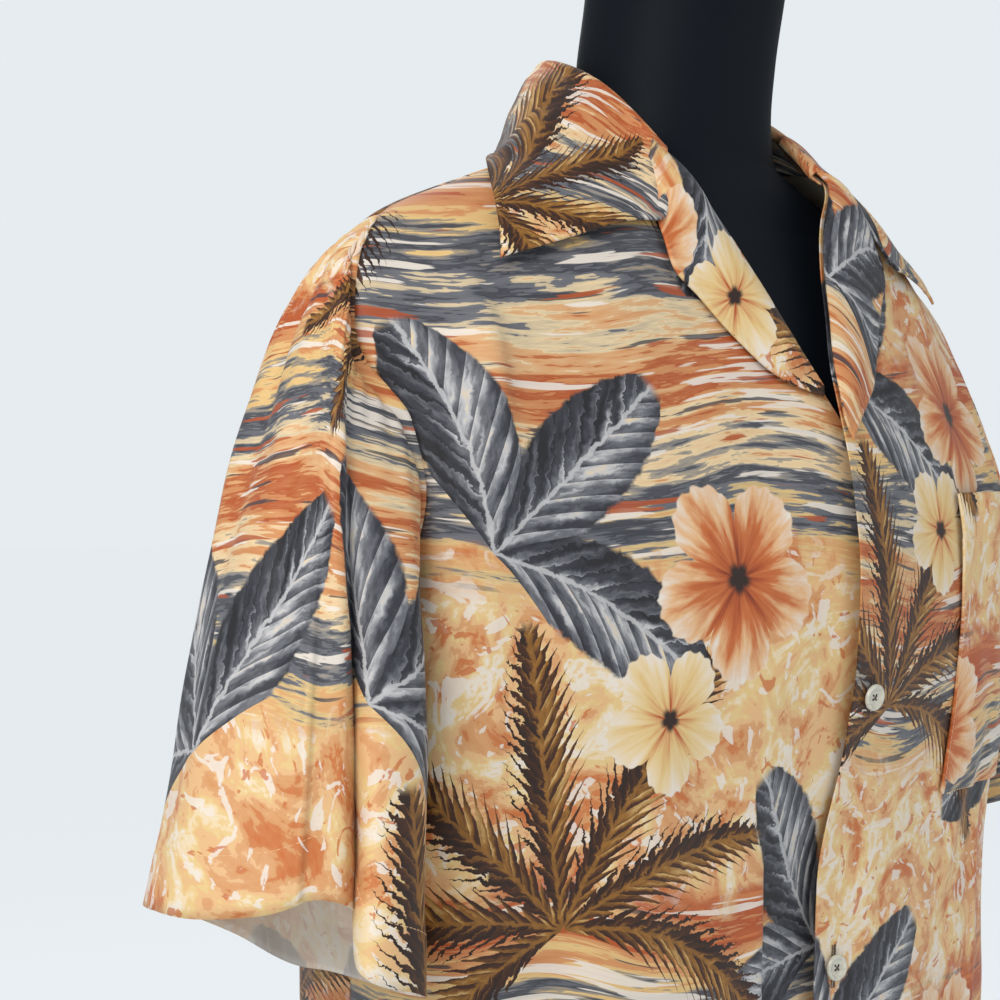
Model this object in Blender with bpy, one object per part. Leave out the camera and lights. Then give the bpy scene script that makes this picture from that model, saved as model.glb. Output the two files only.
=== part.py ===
"""A short-sleeved camp shirt on a limbless dress form with a low round stand, in metres.

Each piece of cloth is a wall round a middle surface. The fronts and the back are read
from short tables of level sections; a place on a panel is given by the distance across
it from the middle and by its height. Sleeves run from the armhole seams to their hems.
"""

import bmesh
import bpy
import numpy as np
from mathutils.bvhtree import BVHTree

# Sizes, in metres. +Z is up, the front faces -Y and the wearer's right is -X.
NECK_POINT_Z = 0.910  # the shoulder seam's end at the neck
BODY_LENGTH = 0.775
HEM_Z = NECK_POINT_Z - BODY_LENGTH
NECK_HALF = 0.075  # from the middle to the neck point
SHOULDER_SLOPE = 0.38  # drop for each metre outwards
SHOULDER_FRONT_ROUND = 0.045  # height over which the cloth turns over the shoulder, at the neck
SHOULDER_END_ROUND = 0.085  # and at the armhole
UNDERARM_Z = 0.620
SIDE_ACROSS = 0.293  # cloth from the middle of the front or back to the side seam
SOFTEN = 0.009  # distance over which a bend across a panel is rounded
UNDERLAP = 0.022  # how far the right front runs on under the left one
OVERLAP_EDGE = -0.004  # how far short of the middle the left front's edge stands
WALL = 0.0020  # thickness of the cloth's solid
SEAM_GAP = 0.0005  # between the fronts and the back at their seams
LAY_GAP = 0.0007  # between a piece and the panel that it lies on

# Level sections of the right front, from the hem up: x is out from the middle, y is back.
# Columns: z centre_y mid_y ridge_x ridge_y turn_x turn_y side_x side_y
RIGHT_FRONT_SECTIONS = (
    (0.135, -0.097, -0.090, 0.206, -0.060, 0.226, -0.038, 0.203, 0.012),
    (0.300, -0.096, -0.089, 0.208, -0.059, 0.226, -0.038, 0.204, 0.012),
    (0.450, -0.095, -0.088, 0.212, -0.058, 0.227, -0.038, 0.206, 0.012),
    (0.550, -0.096, -0.088, 0.216, -0.058, 0.228, -0.038, 0.207, 0.012),
    (0.620, -0.101, -0.089, 0.218, -0.059, 0.230, -0.038, 0.207, 0.010),
    (0.660, -0.107, -0.091, 0.219, -0.060, 0.232, -0.038, 0.207, 0.010),
    (0.700, -0.109, -0.090, 0.219, -0.060, 0.234, -0.036, 0.208, 0.010),
    (0.740, -0.105, -0.086, 0.215, -0.059, 0.234, -0.040, 0.236, 0.000),
    (0.785, -0.095, -0.080, 0.206, -0.056, 0.247, -0.036, 0.285, -0.014),
    (0.820, -0.085, -0.074, 0.203, -0.055, 0.246, -0.036, 0.286, -0.016),
    (0.860, -0.074, -0.066, 0.200, -0.053, 0.244, -0.036, 0.285, -0.018),
    (0.920, -0.058, -0.058, 0.198, -0.050, 0.242, -0.035, 0.284, -0.018),
)
LEFT_FRONT_SECTIONS = (
    (0.135, -0.0935, -0.089, 0.190, -0.067, 0.210, -0.034, 0.203, 0.012),
    (0.300, -0.0890, -0.087, 0.189, -0.067, 0.210, -0.034, 0.204, 0.012),
    (0.450, -0.0875, -0.086, 0.188, -0.069, 0.210, -0.034, 0.206, 0.012),
    (0.550, -0.0900, -0.089, 0.186, -0.073, 0.210, -0.036, 0.207, 0.012),
    (0.620, -0.1060, -0.101, 0.183, -0.084, 0.210, -0.040, 0.207, 0.010),
    (0.660, -0.1130, -0.106, 0.182, -0.089, 0.210, -0.042, 0.207, 0.010),
    (0.700, -0.1150, -0.107, 0.182, -0.090, 0.212, -0.042, 0.208, 0.010),
    (0.740, -0.1110, -0.103, 0.184, -0.084, 0.222, -0.040, 0.240, 0.000),
    (0.785, -0.1005, -0.092, 0.189, -0.063, 0.226, -0.034, 0.266, -0.008),
    (0.820, -0.0865, -0.079, 0.191, -0.050, 0.230, -0.028, 0.270, -0.008),
    (0.860, -0.0720, -0.068, 0.193, -0.047, 0.233, -0.026, 0.271, -0.010),
    (0.920, -0.0600, -0.058, 0.194, -0.046, 0.234, -0.026, 0.272, -0.010),
)
BACK_SECTIONS = (
    (0.135, 0.100, 0.098, 0.170, 0.082, 0.208, 0.062, 0.203, 0.012),
    (0.300, 0.098, 0.096, 0.171, 0.081, 0.209, 0.060, 0.204, 0.012),
    (0.450, 0.096, 0.094, 0.172, 0.080, 0.210, 0.058, 0.206, 0.012),
    (0.550, 0.097, 0.095, 0.174, 0.079, 0.211, 0.056, 0.207, 0.012),
    (0.620, 0.099, 0.096, 0.177, 0.078, 0.212, 0.054, 0.207, 0.010),
    (0.700, 0.101, 0.097, 0.182, 0.072, 0.216, 0.050, 0.222, 0.026),
    (0.780, 0.098, 0.092, 0.184, 0.060, 0.222, 0.038, 0.256, 0.014),
    (0.840, 0.086, 0.080, 0.186, 0.050, 0.224, 0.032, 0.260, 0.010),
    (0.900, 0.068, 0.068, 0.186, 0.046, 0.224, 0.030, 0.262, 0.012),
    (0.940, 0.062, 0.062, 0.186, 0.046, 0.224, 0.030, 0.262, 0.012),
)
# Where each armhole seam runs, from the shoulder down to the underarm.
# Columns: across z
RIGHT_FRONT_ARMHOLE = (
    (0.2070, 0.8598),
    (0.2273, 0.8434),
    (0.2360, 0.8312),
    (0.2420, 0.8160),
    (0.2445, 0.8020),
    (0.2420, 0.7908),
    (0.2350, 0.7810),
    (0.2290, 0.7680),
    (0.2290, 0.7400),
    (0.2440, 0.7000),
    (0.2640, 0.6600),
    (0.2930, 0.6200),
)
LEFT_FRONT_ARMHOLE = (
    (0.2070, 0.8598),
    (0.2205, 0.8434),
    (0.2225, 0.8312),
    (0.2245, 0.8160),
    (0.2265, 0.8000),
    (0.2290, 0.7800),
    (0.2290, 0.7620),
    (0.2250, 0.7480),
    (0.2160, 0.7380),
    (0.2110, 0.7240),
    (0.2150, 0.7000),
    (0.2320, 0.6700),
    (0.2580, 0.6420),
    (0.2930, 0.6200),
)
BACK_ARMHOLE = (
    (0.2070, 0.8598),
    (0.2300, 0.8400),
    (0.2360, 0.8150),
    (0.2330, 0.7850),
    (0.2290, 0.7550),
    (0.2310, 0.7200),
    (0.2420, 0.6850),
    (0.2640, 0.6500),
    (0.2930, 0.6200),
)
BACK_NECKLINE = ((0.0, 0.8980), (0.030, 0.8995), (0.057, 0.9040), (NECK_HALF, NECK_POINT_Z))
# Roll line of each front from its lower end up to where the collar starts: across, z.
RIGHT_ROLL = (
    (-UNDERLAP, 0.7480),
    (0.000, 0.7825),
    (0.012, 0.8010),
    (0.026, 0.8250),
    (0.042, 0.8510),
    (0.054, 0.8720),
    (0.068, 0.8950),
)
LEFT_ROLL = (
    (OVERLAP_EDGE, 0.7700),
    (-0.0030, 0.7890),
    (0.0100, 0.8230),
    (0.0210, 0.8520),
    (0.0280, 0.8700),
    (0.0365, 0.8840),
    (0.0480, 0.8955),
)
# A lapel from its lower end to the collar: height on the roll line, then its outer edge.
# Columns: share roll_z edge_across edge_z
RIGHT_LAPEL = (
    (0.00, 0.7880, 0.0090, 0.7830),
    (0.15, 0.8030, 0.0290, 0.7920),
    (0.40, 0.8260, 0.0530, 0.8095),
    (0.65, 0.8530, 0.0720, 0.8280),
    (0.85, 0.8760, 0.0855, 0.8440),
    (0.93, 0.8850, 0.0865, 0.8515),
    (1.00, 0.8925, 0.0825, 0.8595),
)
LEFT_LAPEL = (
    (0.00, 0.7730, -0.0015, 0.7625),
    (0.15, 0.7900, 0.0100, 0.7740),
    (0.40, 0.8200, 0.0290, 0.7910),
    (0.65, 0.8480, 0.0480, 0.8150),
    (0.85, 0.8720, 0.0670, 0.8370),
    (0.93, 0.8830, 0.0745, 0.8440),
    (1.00, 0.8930, 0.0765, 0.8500),
)
# The patch pocket on the left front, as places on that front.
POCKET_IN = 0.098
POCKET_OUT = 0.202
POCKET_TOP_Z = 0.738
POCKET_BOTTOM_Z = 0.584
POCKET_GAPE = 0.0055  # how far the middle of its mouth stands off

LAPEL_SWELL = 0.0045  # how far the middle of a lapel stands off the front
LAPEL_CLEAR = 0.0034

# Long soft folds: across, height of middle, half height, half width, how far out.
# Columns: across z half_height half_width out
RIGHT_FRONT_FOLDS = (
    (0.195, 0.790, 0.070, 0.010, 0.0040),
    (0.120, 0.560, 0.160, 0.030, 0.0035),
    (0.080, 0.250, 0.180, 0.030, 0.0070),
    (0.150, 0.220, 0.200, 0.026, 0.0080),
)
LEFT_FRONT_FOLDS = (
    (0.060, 0.300, 0.220, 0.026, 0.0060),
    (0.125, 0.230, 0.200, 0.024, 0.0075),
    (0.170, 0.800, 0.060, 0.012, 0.0030),
)
BACK_FOLDS = (
    (0.035, 0.420, 0.300, 0.026, 0.0060),
    (0.105, 0.330, 0.300, 0.026, 0.0085),
    (0.160, 0.560, 0.160, 0.018, 0.0050),
)
# The right front steps back beside the left front's edge, below the chest.
STEP_ACROSS = 0.042
STEP_WIDTH = 0.014
STEP_DEPTH = 0.0140
STEP_TOP_Z = 0.620

# Hem of a sleeve, from its outer side round the front, the underarm and the back.
# Columns: turn x y z
RIGHT_SLEEVE_HEM = (
    (0.00, 0.318, -0.004, 0.577),
    (0.06, 0.318, -0.030, 0.578),
    (0.13, 0.3045, -0.0555, 0.5815),
    (0.20, 0.2905, -0.0655, 0.5865),
    (0.25, 0.2800, -0.0715, 0.5835),
    (0.30, 0.2660, -0.0610, 0.5730),
    (0.335, 0.2815, -0.0840, 0.5595),
    (0.375, 0.2605, -0.0880, 0.5505),
    (0.41, 0.2430, -0.0750, 0.5430),
    (0.45, 0.234, -0.050, 0.538),
    (0.50, 0.224, -0.012, 0.534),
    (0.56, 0.222, 0.010, 0.533),
    (0.64, 0.228, 0.030, 0.534),
    (0.74, 0.248, 0.039, 0.548),
    (0.84, 0.276, 0.037, 0.562),
    (0.93, 0.304, 0.022, 0.573),
)
LEFT_SLEEVE_SHIFT = (-0.010, 0.026, 0.014)  # the far sleeve hangs further back
# Share of each armhole, from the shoulder, that stands over each part of the hem.
# Columns: turn front_share back_share
SEAM_SHARES = (
    (0.00, 0.00, 0.00),
    (0.06, 0.05, 0.08),
    (0.13, 0.11, 0.16),
    (0.21, 0.18, 0.28),
    (0.27, 0.24, 0.38),
    (0.31, 0.28, 0.45),
    (0.35, 0.34, 0.55),
    (0.40, 0.43, 0.68),
    (0.45, 0.70, 0.85),
    (0.50, 1.00, 1.00),
)

# How the cloth leaves the seam and comes to the hem, as pulls in metres.
# Columns: turn out_x out_y out_z hem_pull
SLEEVE_PULLS = (
    (0.00, 0.045, -0.002, -0.030, 0.120),
    (0.13, 0.032, -0.018, -0.030, 0.115),
    (0.25, 0.028, -0.034, -0.036, 0.100),
    (0.31, 0.026, -0.028, -0.040, 0.090),
    (0.36, 0.010, -0.036, -0.060, 0.080),
    (0.42, 0.016, -0.026, -0.050, 0.070),
    (0.50, 0.022, 0.000, -0.018, 0.030),
    (0.58, 0.016, 0.016, -0.044, 0.060),
    (0.70, 0.024, 0.024, -0.066, 0.080),
    (0.85, 0.034, 0.018, -0.056, 0.110),
)
SLEEVE_LEAVE = 0.010  # how strongly the sleeve carries on from the panel at the seam
SLEEVE_GAP = 0.0034  # from the end of a panel's wall to the end of the sleeve's
SLEEVE_CLEAR = 0.0044  # least distance from the middle of a sleeve's wall to a panel's
LEFT_PULL_SCALE = (0.8, 0.7, 1.0)
HEM_LEAN = (0.27, 0.12, 0)  # share of the sleeve's spread still to come above the hem

# Collar, from its front end (0) to the middle of the back (0.5): roll, then outer edge.
# Columns: share x y z
COLLAR_ROLL = (
    (0.00, 0.0680, -0.0500, 0.8995),
    (0.08, 0.0685, -0.0350, 0.9150),
    (0.17, 0.0670, -0.0090, 0.9365),
    (0.25, 0.0640, 0.0140, 0.9490),
    (0.33, 0.0560, 0.0360, 0.9570),
    (0.42, 0.0360, 0.0570, 0.9620),
    (0.50, 0.0000, 0.0660, 0.9640),
)
COLLAR_EDGE = (
    (0.00, 0.1785, -0.0500, 0.8355),
    (0.08, 0.1640, -0.0340, 0.8550),
    (0.17, 0.1440, -0.0150, 0.8740),
    (0.25, 0.1200, 0.0060, 0.8900),
    (0.33, 0.0890, 0.0380, 0.9000),
    (0.42, 0.0500, 0.0780, 0.8985),
    (0.50, 0.0000, 0.0940, 0.8950),
)
LEFT_ROLL_SHIFT = (-0.0190, -0.0042, 0.0036)  # how the left front end differs from the right one
LEFT_EDGE_SHIFT = (-0.0320, -0.0100, 0.0040)
COLLAR_BOW = (0.004, 0.004)  # how far the fall stands out: at its front ends, and more behind
LEFT_BOW_SCALE = 3.0
COLLAR_ROLL_RADIUS = 0.0034
COLLAR_CLEAR = 0.0062  # least distance from the middle of the collar's wall to a panel's

COLLAR_AT_SHOULDER = 0.22  # where along the collar the shoulder seam meets it
NECK_GAP = 0.0012  # from the neckline's edge up to the collar's
NECK_INWARDS = (0.985, 1.0, 1.0)

# Shares of a front's grid: of its top edge for the neckline, of its side for the armhole.
NECK_SHARE = 0.47
ARMHOLE_SHARE = 0.36

# Level sections of the dress form, from the bottom up.
# Columns: z half_width front back middle_y squareness
FORM_SECTIONS = (
    (0.100, 0.1540, 0.0660, 0.0780, 0.000, 0.90),
    (0.104, 0.1580, 0.0690, 0.0810, 0.000, 0.90),
    (0.200, 0.1640, 0.0720, 0.0840, 0.000, 0.90),
    (0.300, 0.1600, 0.0700, 0.0800, 0.000, 0.90),
    (0.400, 0.1520, 0.0660, 0.0740, 0.000, 0.90),
    (0.500, 0.1580, 0.0710, 0.0780, 0.000, 0.90),
    (0.600, 0.1680, 0.0840, 0.0840, 0.000, 0.90),
    (0.700, 0.1740, 0.0940, 0.0860, 0.000, 0.90),
    (0.770, 0.1780, 0.0890, 0.0840, 0.000, 0.92),
    (0.800, 0.1810, 0.0810, 0.0780, 0.000, 0.95),
    (0.830, 0.1850, 0.0700, 0.0680, 0.000, 1.00),
    (0.850, 0.1870, 0.0620, 0.0600, 0.000, 1.00),
    (0.862, 0.1870, 0.0570, 0.0550, 0.000, 1.00),
    (0.870, 0.1660, 0.0530, 0.0520, 0.000, 1.00),
    (0.880, 0.1390, 0.0500, 0.0500, 0.000, 1.00),
    (0.890, 0.1120, 0.0480, 0.0490, 0.000, 1.00),
    (0.899, 0.0860, 0.0460, 0.0480, 0.001, 1.00),
    (0.905, 0.0660, 0.0460, 0.0480, 0.002, 1.00),
    (0.912, 0.0585, 0.0470, 0.0480, 0.002, 1.00),
    (0.930, 0.0530, 0.0490, 0.0490, 0.002, 1.00),
    (0.955, 0.0515, 0.0505, 0.0505, 0.000, 1.00),
    (0.990, 0.0505, 0.0515, 0.0515, -0.006, 1.00),
    (1.028, 0.0520, 0.0525, 0.0525, -0.012, 1.00),
    (1.034, 0.0490, 0.0495, 0.0495, -0.013, 1.00),
)


def fit(levels, values, at):
    """Read a smooth curve through the values that doesn't swing past them."""
    levels = np.asarray(levels, float)
    values = np.asarray(values, float)
    at = np.clip(np.asarray(at, float), levels[0], levels[-1])
    step = np.diff(levels)
    slope = np.diff(values) / step
    lean = np.empty(len(levels))
    lean[0], lean[-1] = slope[0], slope[-1]
    both = slope[:-1] * slope[1:]
    total = slope[:-1] + slope[1:]
    lean[1:-1] = np.where(both > 0, 2 * both / np.where(total == 0, 1, total), 0)
    i = np.clip(np.searchsorted(levels, at) - 1, 0, len(step) - 1)
    u = (at - levels[i]) / step[i]
    a = (1 + 2 * u) * (1 - u) ** 2 * values[i] + u * (1 - u) ** 2 * step[i] * lean[i]
    b = u * u * (3 - 2 * u) * values[i + 1] + u * u * (u - 1) * step[i] * lean[i + 1]
    return a + b


def columns(rows):
    return np.array(rows, float).T


def ease(low, high, value):
    """0 below low and 1 above high, with a soft start and end."""
    u = np.clip((np.asarray(value, float) - low) / (high - low), 0, 1)
    return u * u * (3 - 2 * u)


def follow(rows, share):
    """Points along a curve through rows of places, by share of its length."""
    table = np.array(rows, float)
    length = np.concatenate([[0], np.cumsum(np.linalg.norm(np.diff(table, axis=0), axis=1))])
    at = np.asarray(share, float) * length[-1]
    return np.stack([fit(length, table[:, k], at) for k in range(table.shape[1])], axis=-1)


def raw_section(sections, across, z):
    """One level section of a panel, before its bends are softened."""
    table = columns(sections)
    read = [fit(table[0], table[k], z) for k in range(1, 9)]
    centre_y, mid_y, ridge_x, ridge_y, turn_x, turn_y, side_x, side_y = read
    q = np.maximum(across, 0) / ridge_x
    bow_y = 2 * mid_y - 0.5 * (centre_y + ridge_y)
    flat_y = (1 - q) ** 2 * centre_y + 2 * q * (1 - q) * bow_y + q * q * ridge_y
    p = (across - ridge_x) / (SIDE_ACROSS - ridge_x)
    w0, w1, w2 = (1 - p) ** 2, 2 * p * (1 - p), p * p
    round_x = w0 * ridge_x + w1 * turn_x + w2 * side_x
    round_y = w0 * ridge_y + w1 * turn_y + w2 * side_y
    flat = across <= ridge_x
    return np.where(flat, across, round_x), np.where(flat, flat_y, round_y)


def shoulder_z(x):
    return NECK_POINT_Z - SHOULDER_SLOPE * (np.abs(x) - NECK_HALF)


def folds_out(folds, across, z):
    out = np.zeros(np.broadcast(across, z).shape)
    for middle, height, half_height, half_width, most in folds:
        u = (across - middle) / half_width
        v = (z - height) / half_height
        out = out + most * np.exp(-u * u) * np.exp(-v * v)
    return out


def sheet_point(sections, folds, across, z, step=0.0):
    """A panel's middle surface, on the side where x is positive."""
    across, z = np.broadcast_arrays(np.asarray(across, float), np.asarray(z, float))
    near_side = np.clip((SIDE_ACROSS - across) / 0.03, 0, 1)
    x = np.zeros(across.shape)
    y = np.zeros(across.shape)
    for reach, weight in ((-2, 1), (-1, 3), (0, 4), (1, 3), (2, 1)):
        sx, sy = raw_section(sections, across + reach * SOFTEN * near_side, z)
        x += weight / 12 * sx
        y += weight / 12 * sy
    facing = np.sign(sections[0][1])
    spread = ease(NECK_HALF, NECK_HALF + 0.1, across)
    turn_height = SHOULDER_FRONT_ROUND + (SHOULDER_END_ROUND - SHOULDER_FRONT_ROUND) * spread
    rise = np.clip((shoulder_z(across) - z) / turn_height, 0, 1)
    y = y * np.sqrt(np.clip(1 - (1 - rise) ** 2, 0, 1))
    calm = ease(0.0, 0.5, rise) * near_side
    y = y + facing * folds_out(folds, across, z) * calm
    if step:
        back = ease(STEP_ACROSS + STEP_WIDTH, STEP_ACROSS, across)
        y = y + step * back * ease(STEP_TOP_Z, STEP_TOP_Z - 0.08, z)
    return np.stack([x, y, z], axis=-1)


def front_right_point(across, z):
    point = sheet_point(RIGHT_FRONT_SECTIONS, RIGHT_FRONT_FOLDS, across, z, STEP_DEPTH)
    return point * (-1, 1, 1)


def front_left_point(across, z):
    return sheet_point(LEFT_FRONT_SECTIONS, LEFT_FRONT_FOLDS, across, z)


def back_point(across, z):
    point = sheet_point(BACK_SECTIONS, BACK_FOLDS, np.abs(across), z)
    point[..., 0] = point[..., 0] * np.where(np.asarray(across) < 0, -1, 1)
    return point


def moved_out(surface, across, z, out):
    """Points off a panel's surface, away from the body."""
    tiny = 0.0015
    point = surface(across, z)
    along = surface(across + tiny, z) - surface(across - tiny, z)
    up = surface(across, z + tiny) - surface(across, z - tiny)
    normal = np.cross(along, up)
    normal /= np.linalg.norm(normal, axis=-1, keepdims=True)
    away = np.sum(normal * (point - (0, 0, 0.5)) * (1, 1, 0), axis=-1, keepdims=True)
    return point + normal * np.sign(away) * np.asarray(out, float)[..., None]


def patch(top, bottom, left, right, s, t):
    """Fill four edges, each a row of (across, z) places, with a grid of places."""
    s, t = s[None, :, None], t[:, None, None]
    t_row, b_row = top[None], bottom[None]
    l_col, r_col = left[:, None], right[:, None]
    corners = (1 - s) * (1 - t) * top[0] + s * (1 - t) * top[-1]
    corners = corners + (1 - s) * t * bottom[0] + s * t * bottom[-1]
    return (1 - t) * t_row + t * b_row + (1 - s) * l_col + s * r_col - corners


def panel_places(neck, armhole, edge_across, count_s, count_t, crowd=1.5):
    """Places of a front's or half back's grid, from its middle edge to its side."""
    t = np.linspace(0, 1, count_t) ** crowd
    neck = np.array(neck, float)
    if tuple(neck[-1]) != (NECK_HALF, NECK_POINT_Z):
        neck = np.vstack([neck, (NECK_HALF, NECK_POINT_Z)])
    neck_count = int(round(count_s * NECK_SHARE))
    shoulder = np.array([(NECK_HALF, NECK_POINT_Z), armhole[0]])
    first = follow(neck, np.linspace(0, 1, neck_count))
    second = follow(shoulder, np.linspace(0, 1, count_s - neck_count + 1))[1:]
    top = np.vstack([first, second])
    over_shoulder = np.linspace(NECK_SHARE, 1, count_s - neck_count + 1)[1:]
    s = np.concatenate([np.linspace(0, NECK_SHARE, neck_count), over_shoulder])
    hem_across = edge_across + (SIDE_ACROSS - edge_across) * s
    bottom = np.stack([hem_across, np.full(count_s, HEM_Z)], axis=-1)
    edge_z = neck[0, 1] + (HEM_Z - neck[0, 1]) * t
    left = np.stack([np.full(count_t, edge_across), edge_z], axis=-1)
    share = np.clip(t / ARMHOLE_SHARE, 0, 1)
    right = follow(armhole, share)
    low = t > ARMHOLE_SHARE
    right[low, 0] = SIDE_ACROSS
    right[low, 1] = UNDERARM_Z + (HEM_Z - UNDERARM_Z) * (t[low] - ARMHOLE_SHARE) / (1 - ARMHOLE_SHARE)
    return patch(top, bottom, left, right, s, t)


def normals_of(grid, wrap=False):
    """Unit normals of a grid of points; wrap closes its second direction."""
    down = np.gradient(grid, axis=0)
    if wrap:
        around = (np.roll(grid, -1, axis=1) - np.roll(grid, 1, axis=1)) / 2
    else:
        around = np.gradient(grid, axis=1)
    normal = np.cross(down, around)
    return normal / np.maximum(np.linalg.norm(normal, axis=-1, keepdims=True), 1e-12)


def ring_fit(rows, turn):
    """Read a closed curve's columns at turns from 0 to 1, smoothly through its end."""
    table = np.array(rows, float)
    wide = np.vstack([table[-3:] - (1, 0, 0, 0), table, table[:3] + (1, 0, 0, 0)])
    turn = np.asarray(turn, float) % 1
    i = np.clip(np.searchsorted(wide[:, 0], turn, side="right") - 1, 1, len(wide) - 3)
    gap = wide[i + 1, 0] - wide[i, 0]
    u = ((turn - wide[i, 0]) / gap)[..., None]
    before = (wide[i + 1, 1:] - wide[i - 1, 1:]) / (wide[i + 1, 0] - wide[i - 1, 0])[..., None]
    after = (wide[i + 2, 1:] - wide[i, 1:]) / (wide[i + 2, 0] - wide[i, 0])[..., None]
    gap = gap[..., None]
    a = (1 + 2 * u) * (1 - u) ** 2 * wide[i, 1:] + u * (1 - u) ** 2 * gap * before
    b = u * u * (3 - 2 * u) * wide[i + 1, 1:] + u * u * (u - 1) * gap * after
    return a + b


def seam_frame(surface, armhole, share):
    """Points of an armhole seam, the way the panel leaves there and its normal."""
    place = follow(armhole, share)
    ahead = follow(armhole, np.clip(share + 0.004, 0, 1))
    behind = follow(armhole, np.clip(share - 0.004, 0, 1))
    along = ahead - behind
    along /= np.linalg.norm(along, axis=1, keepdims=True)
    off = np.stack([-along[:, 1], along[:, 0]], axis=1) * 0.001
    point = surface(place[:, 0], place[:, 1])
    leave = surface(*(place + off).T) - surface(*(place - off).T)
    run = surface(ahead[:, 0], ahead[:, 1]) - surface(behind[:, 0], behind[:, 1])
    leave /= np.linalg.norm(leave, axis=1, keepdims=True)
    normal = np.cross(leave, run)
    normal /= np.linalg.norm(normal, axis=1, keepdims=True)
    return point, leave, normal


def sleeve_grid(side, count_turn, count_down, clear=None):
    """Points of a sleeve: rows from the armhole seam to the hem, round the arm.

    clear, if given, is called with the points and keeps them off the panels.
    """
    turn = np.arange(count_turn) / count_turn
    shares = columns(SEAM_SHARES)
    front = turn <= 0.5
    half_turn = np.where(front, turn, 1 - turn)
    front_share = fit(shares[0], shares[1], half_turn)
    back_share = fit(shares[0], shares[2], half_turn)
    armhole = RIGHT_FRONT_ARMHOLE if side < 0 else LEFT_FRONT_ARMHOLE
    surface = front_right_point if side < 0 else front_left_point
    mirror = np.array([side, 1, 1])
    on_front = seam_frame(surface, armhole, front_share)
    on_back = seam_frame(lambda a, z: back_point(a, z) * mirror, BACK_ARMHOLE, back_share)
    seam, leave = [
        np.where(front[:, None], on_front[k], on_back[k]) * mirror for k in (0, 1)
    ]
    seam[0, 0] = max(seam[0, 0], on_back[0][0, 0] * side)
    hem = ring_fit(RIGHT_SLEEVE_HEM, turn)
    pull = ring_fit_any(SLEEVE_PULLS, turn)
    out = pull[:, :3]
    hem_pull = pull[:, 3]
    if side > 0:
        hem = hem + LEFT_SLEEVE_SHIFT
        out = out * LEFT_PULL_SCALE
    length = np.linalg.norm(out + leave * SLEEVE_LEAVE, axis=1, keepdims=True)
    way = (out + leave * SLEEVE_LEAVE) / length
    along = np.clip(np.sum(way * leave, axis=1, keepdims=True), -0.6, 1)
    corner = WALL / 2 * np.sqrt((1 - along) / (1 + along))
    start = seam + leave * (SLEEVE_GAP + corner) + way * corner
    lean = (hem - start) * HEM_LEAN
    end_pull = np.stack([0 * hem_pull, 0 * hem_pull, hem_pull], axis=1) - lean
    p0, p1, p2, p3 = start, start + out + leave * SLEEVE_LEAVE, hem + end_pull, hem
    t = (np.linspace(0, 1, count_down) ** 1.5)[:, None, None]
    grid = (1 - t) ** 3 * p0 + 3 * t * (1 - t) ** 2 * p1 + 3 * t * t * (1 - t) * p2 + t**3 * p3
    grid = grid * mirror
    if clear:
        grid[1:] = clear(grid[1:], SLEEVE_CLEAR)
    return grid


def ring_fit_any(table, turn):
    """Read a closed table with any number of columns."""
    table = np.array(table, float)
    one = np.zeros(table.shape[1])
    one[0] = 1
    wide = np.vstack([table[-3:] - one, table, table[:3] + one])
    turn = np.asarray(turn, float) % 1
    return np.stack([fit(wide[:, 0], wide[:, k], turn) for k in range(1, wide.shape[1])], axis=-1)


def lapel_grid(side, count_share, count_out, lift=0.0):
    """Points of a lapel: rows along the roll, from the roll out to its edge."""
    rows = columns(RIGHT_LAPEL if side < 0 else LEFT_LAPEL)
    roll = columns(RIGHT_ROLL if side < 0 else LEFT_ROLL)
    surface = front_right_point if side < 0 else front_left_point
    share = np.linspace(0, 1, count_share)
    w = np.linspace(0.02, 1, count_out)[None, :]
    roll_z = fit(rows[0], rows[1], share)[:, None]
    roll_across = fit(roll[1], roll[0], roll_z)
    edge_across = fit(rows[0], rows[2], share)[:, None]
    edge_z = fit(rows[0], rows[3], share)[:, None]
    across = roll_across + (edge_across - roll_across) * w
    z = roll_z + (edge_z - roll_z) * w
    swell = LAPEL_SWELL * np.sin(np.pi * w**0.7) * ease(0, 0.25, share)[:, None]
    return moved_out(surface, across, z, WALL + LAY_GAP + swell + lift)


def pocket_grid(count_across, count_down, lift=0.0):
    """Points of the patch pocket, from its mouth down and from its inner edge out."""
    s = np.linspace(0, 1, count_across)[None, :]
    t = np.linspace(0, 1, count_down)[:, None]
    across = POCKET_IN + (POCKET_OUT - POCKET_IN) * s + 0 * t
    z = POCKET_TOP_Z + (POCKET_BOTTOM_Z - POCKET_TOP_Z) * t + 0 * s
    gape = POCKET_GAPE * np.sin(np.pi * s**0.7) * ease(0.40, 0.0, t)
    return moved_out(front_left_point, across, z, WALL + LAY_GAP + gape + lift)


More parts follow.
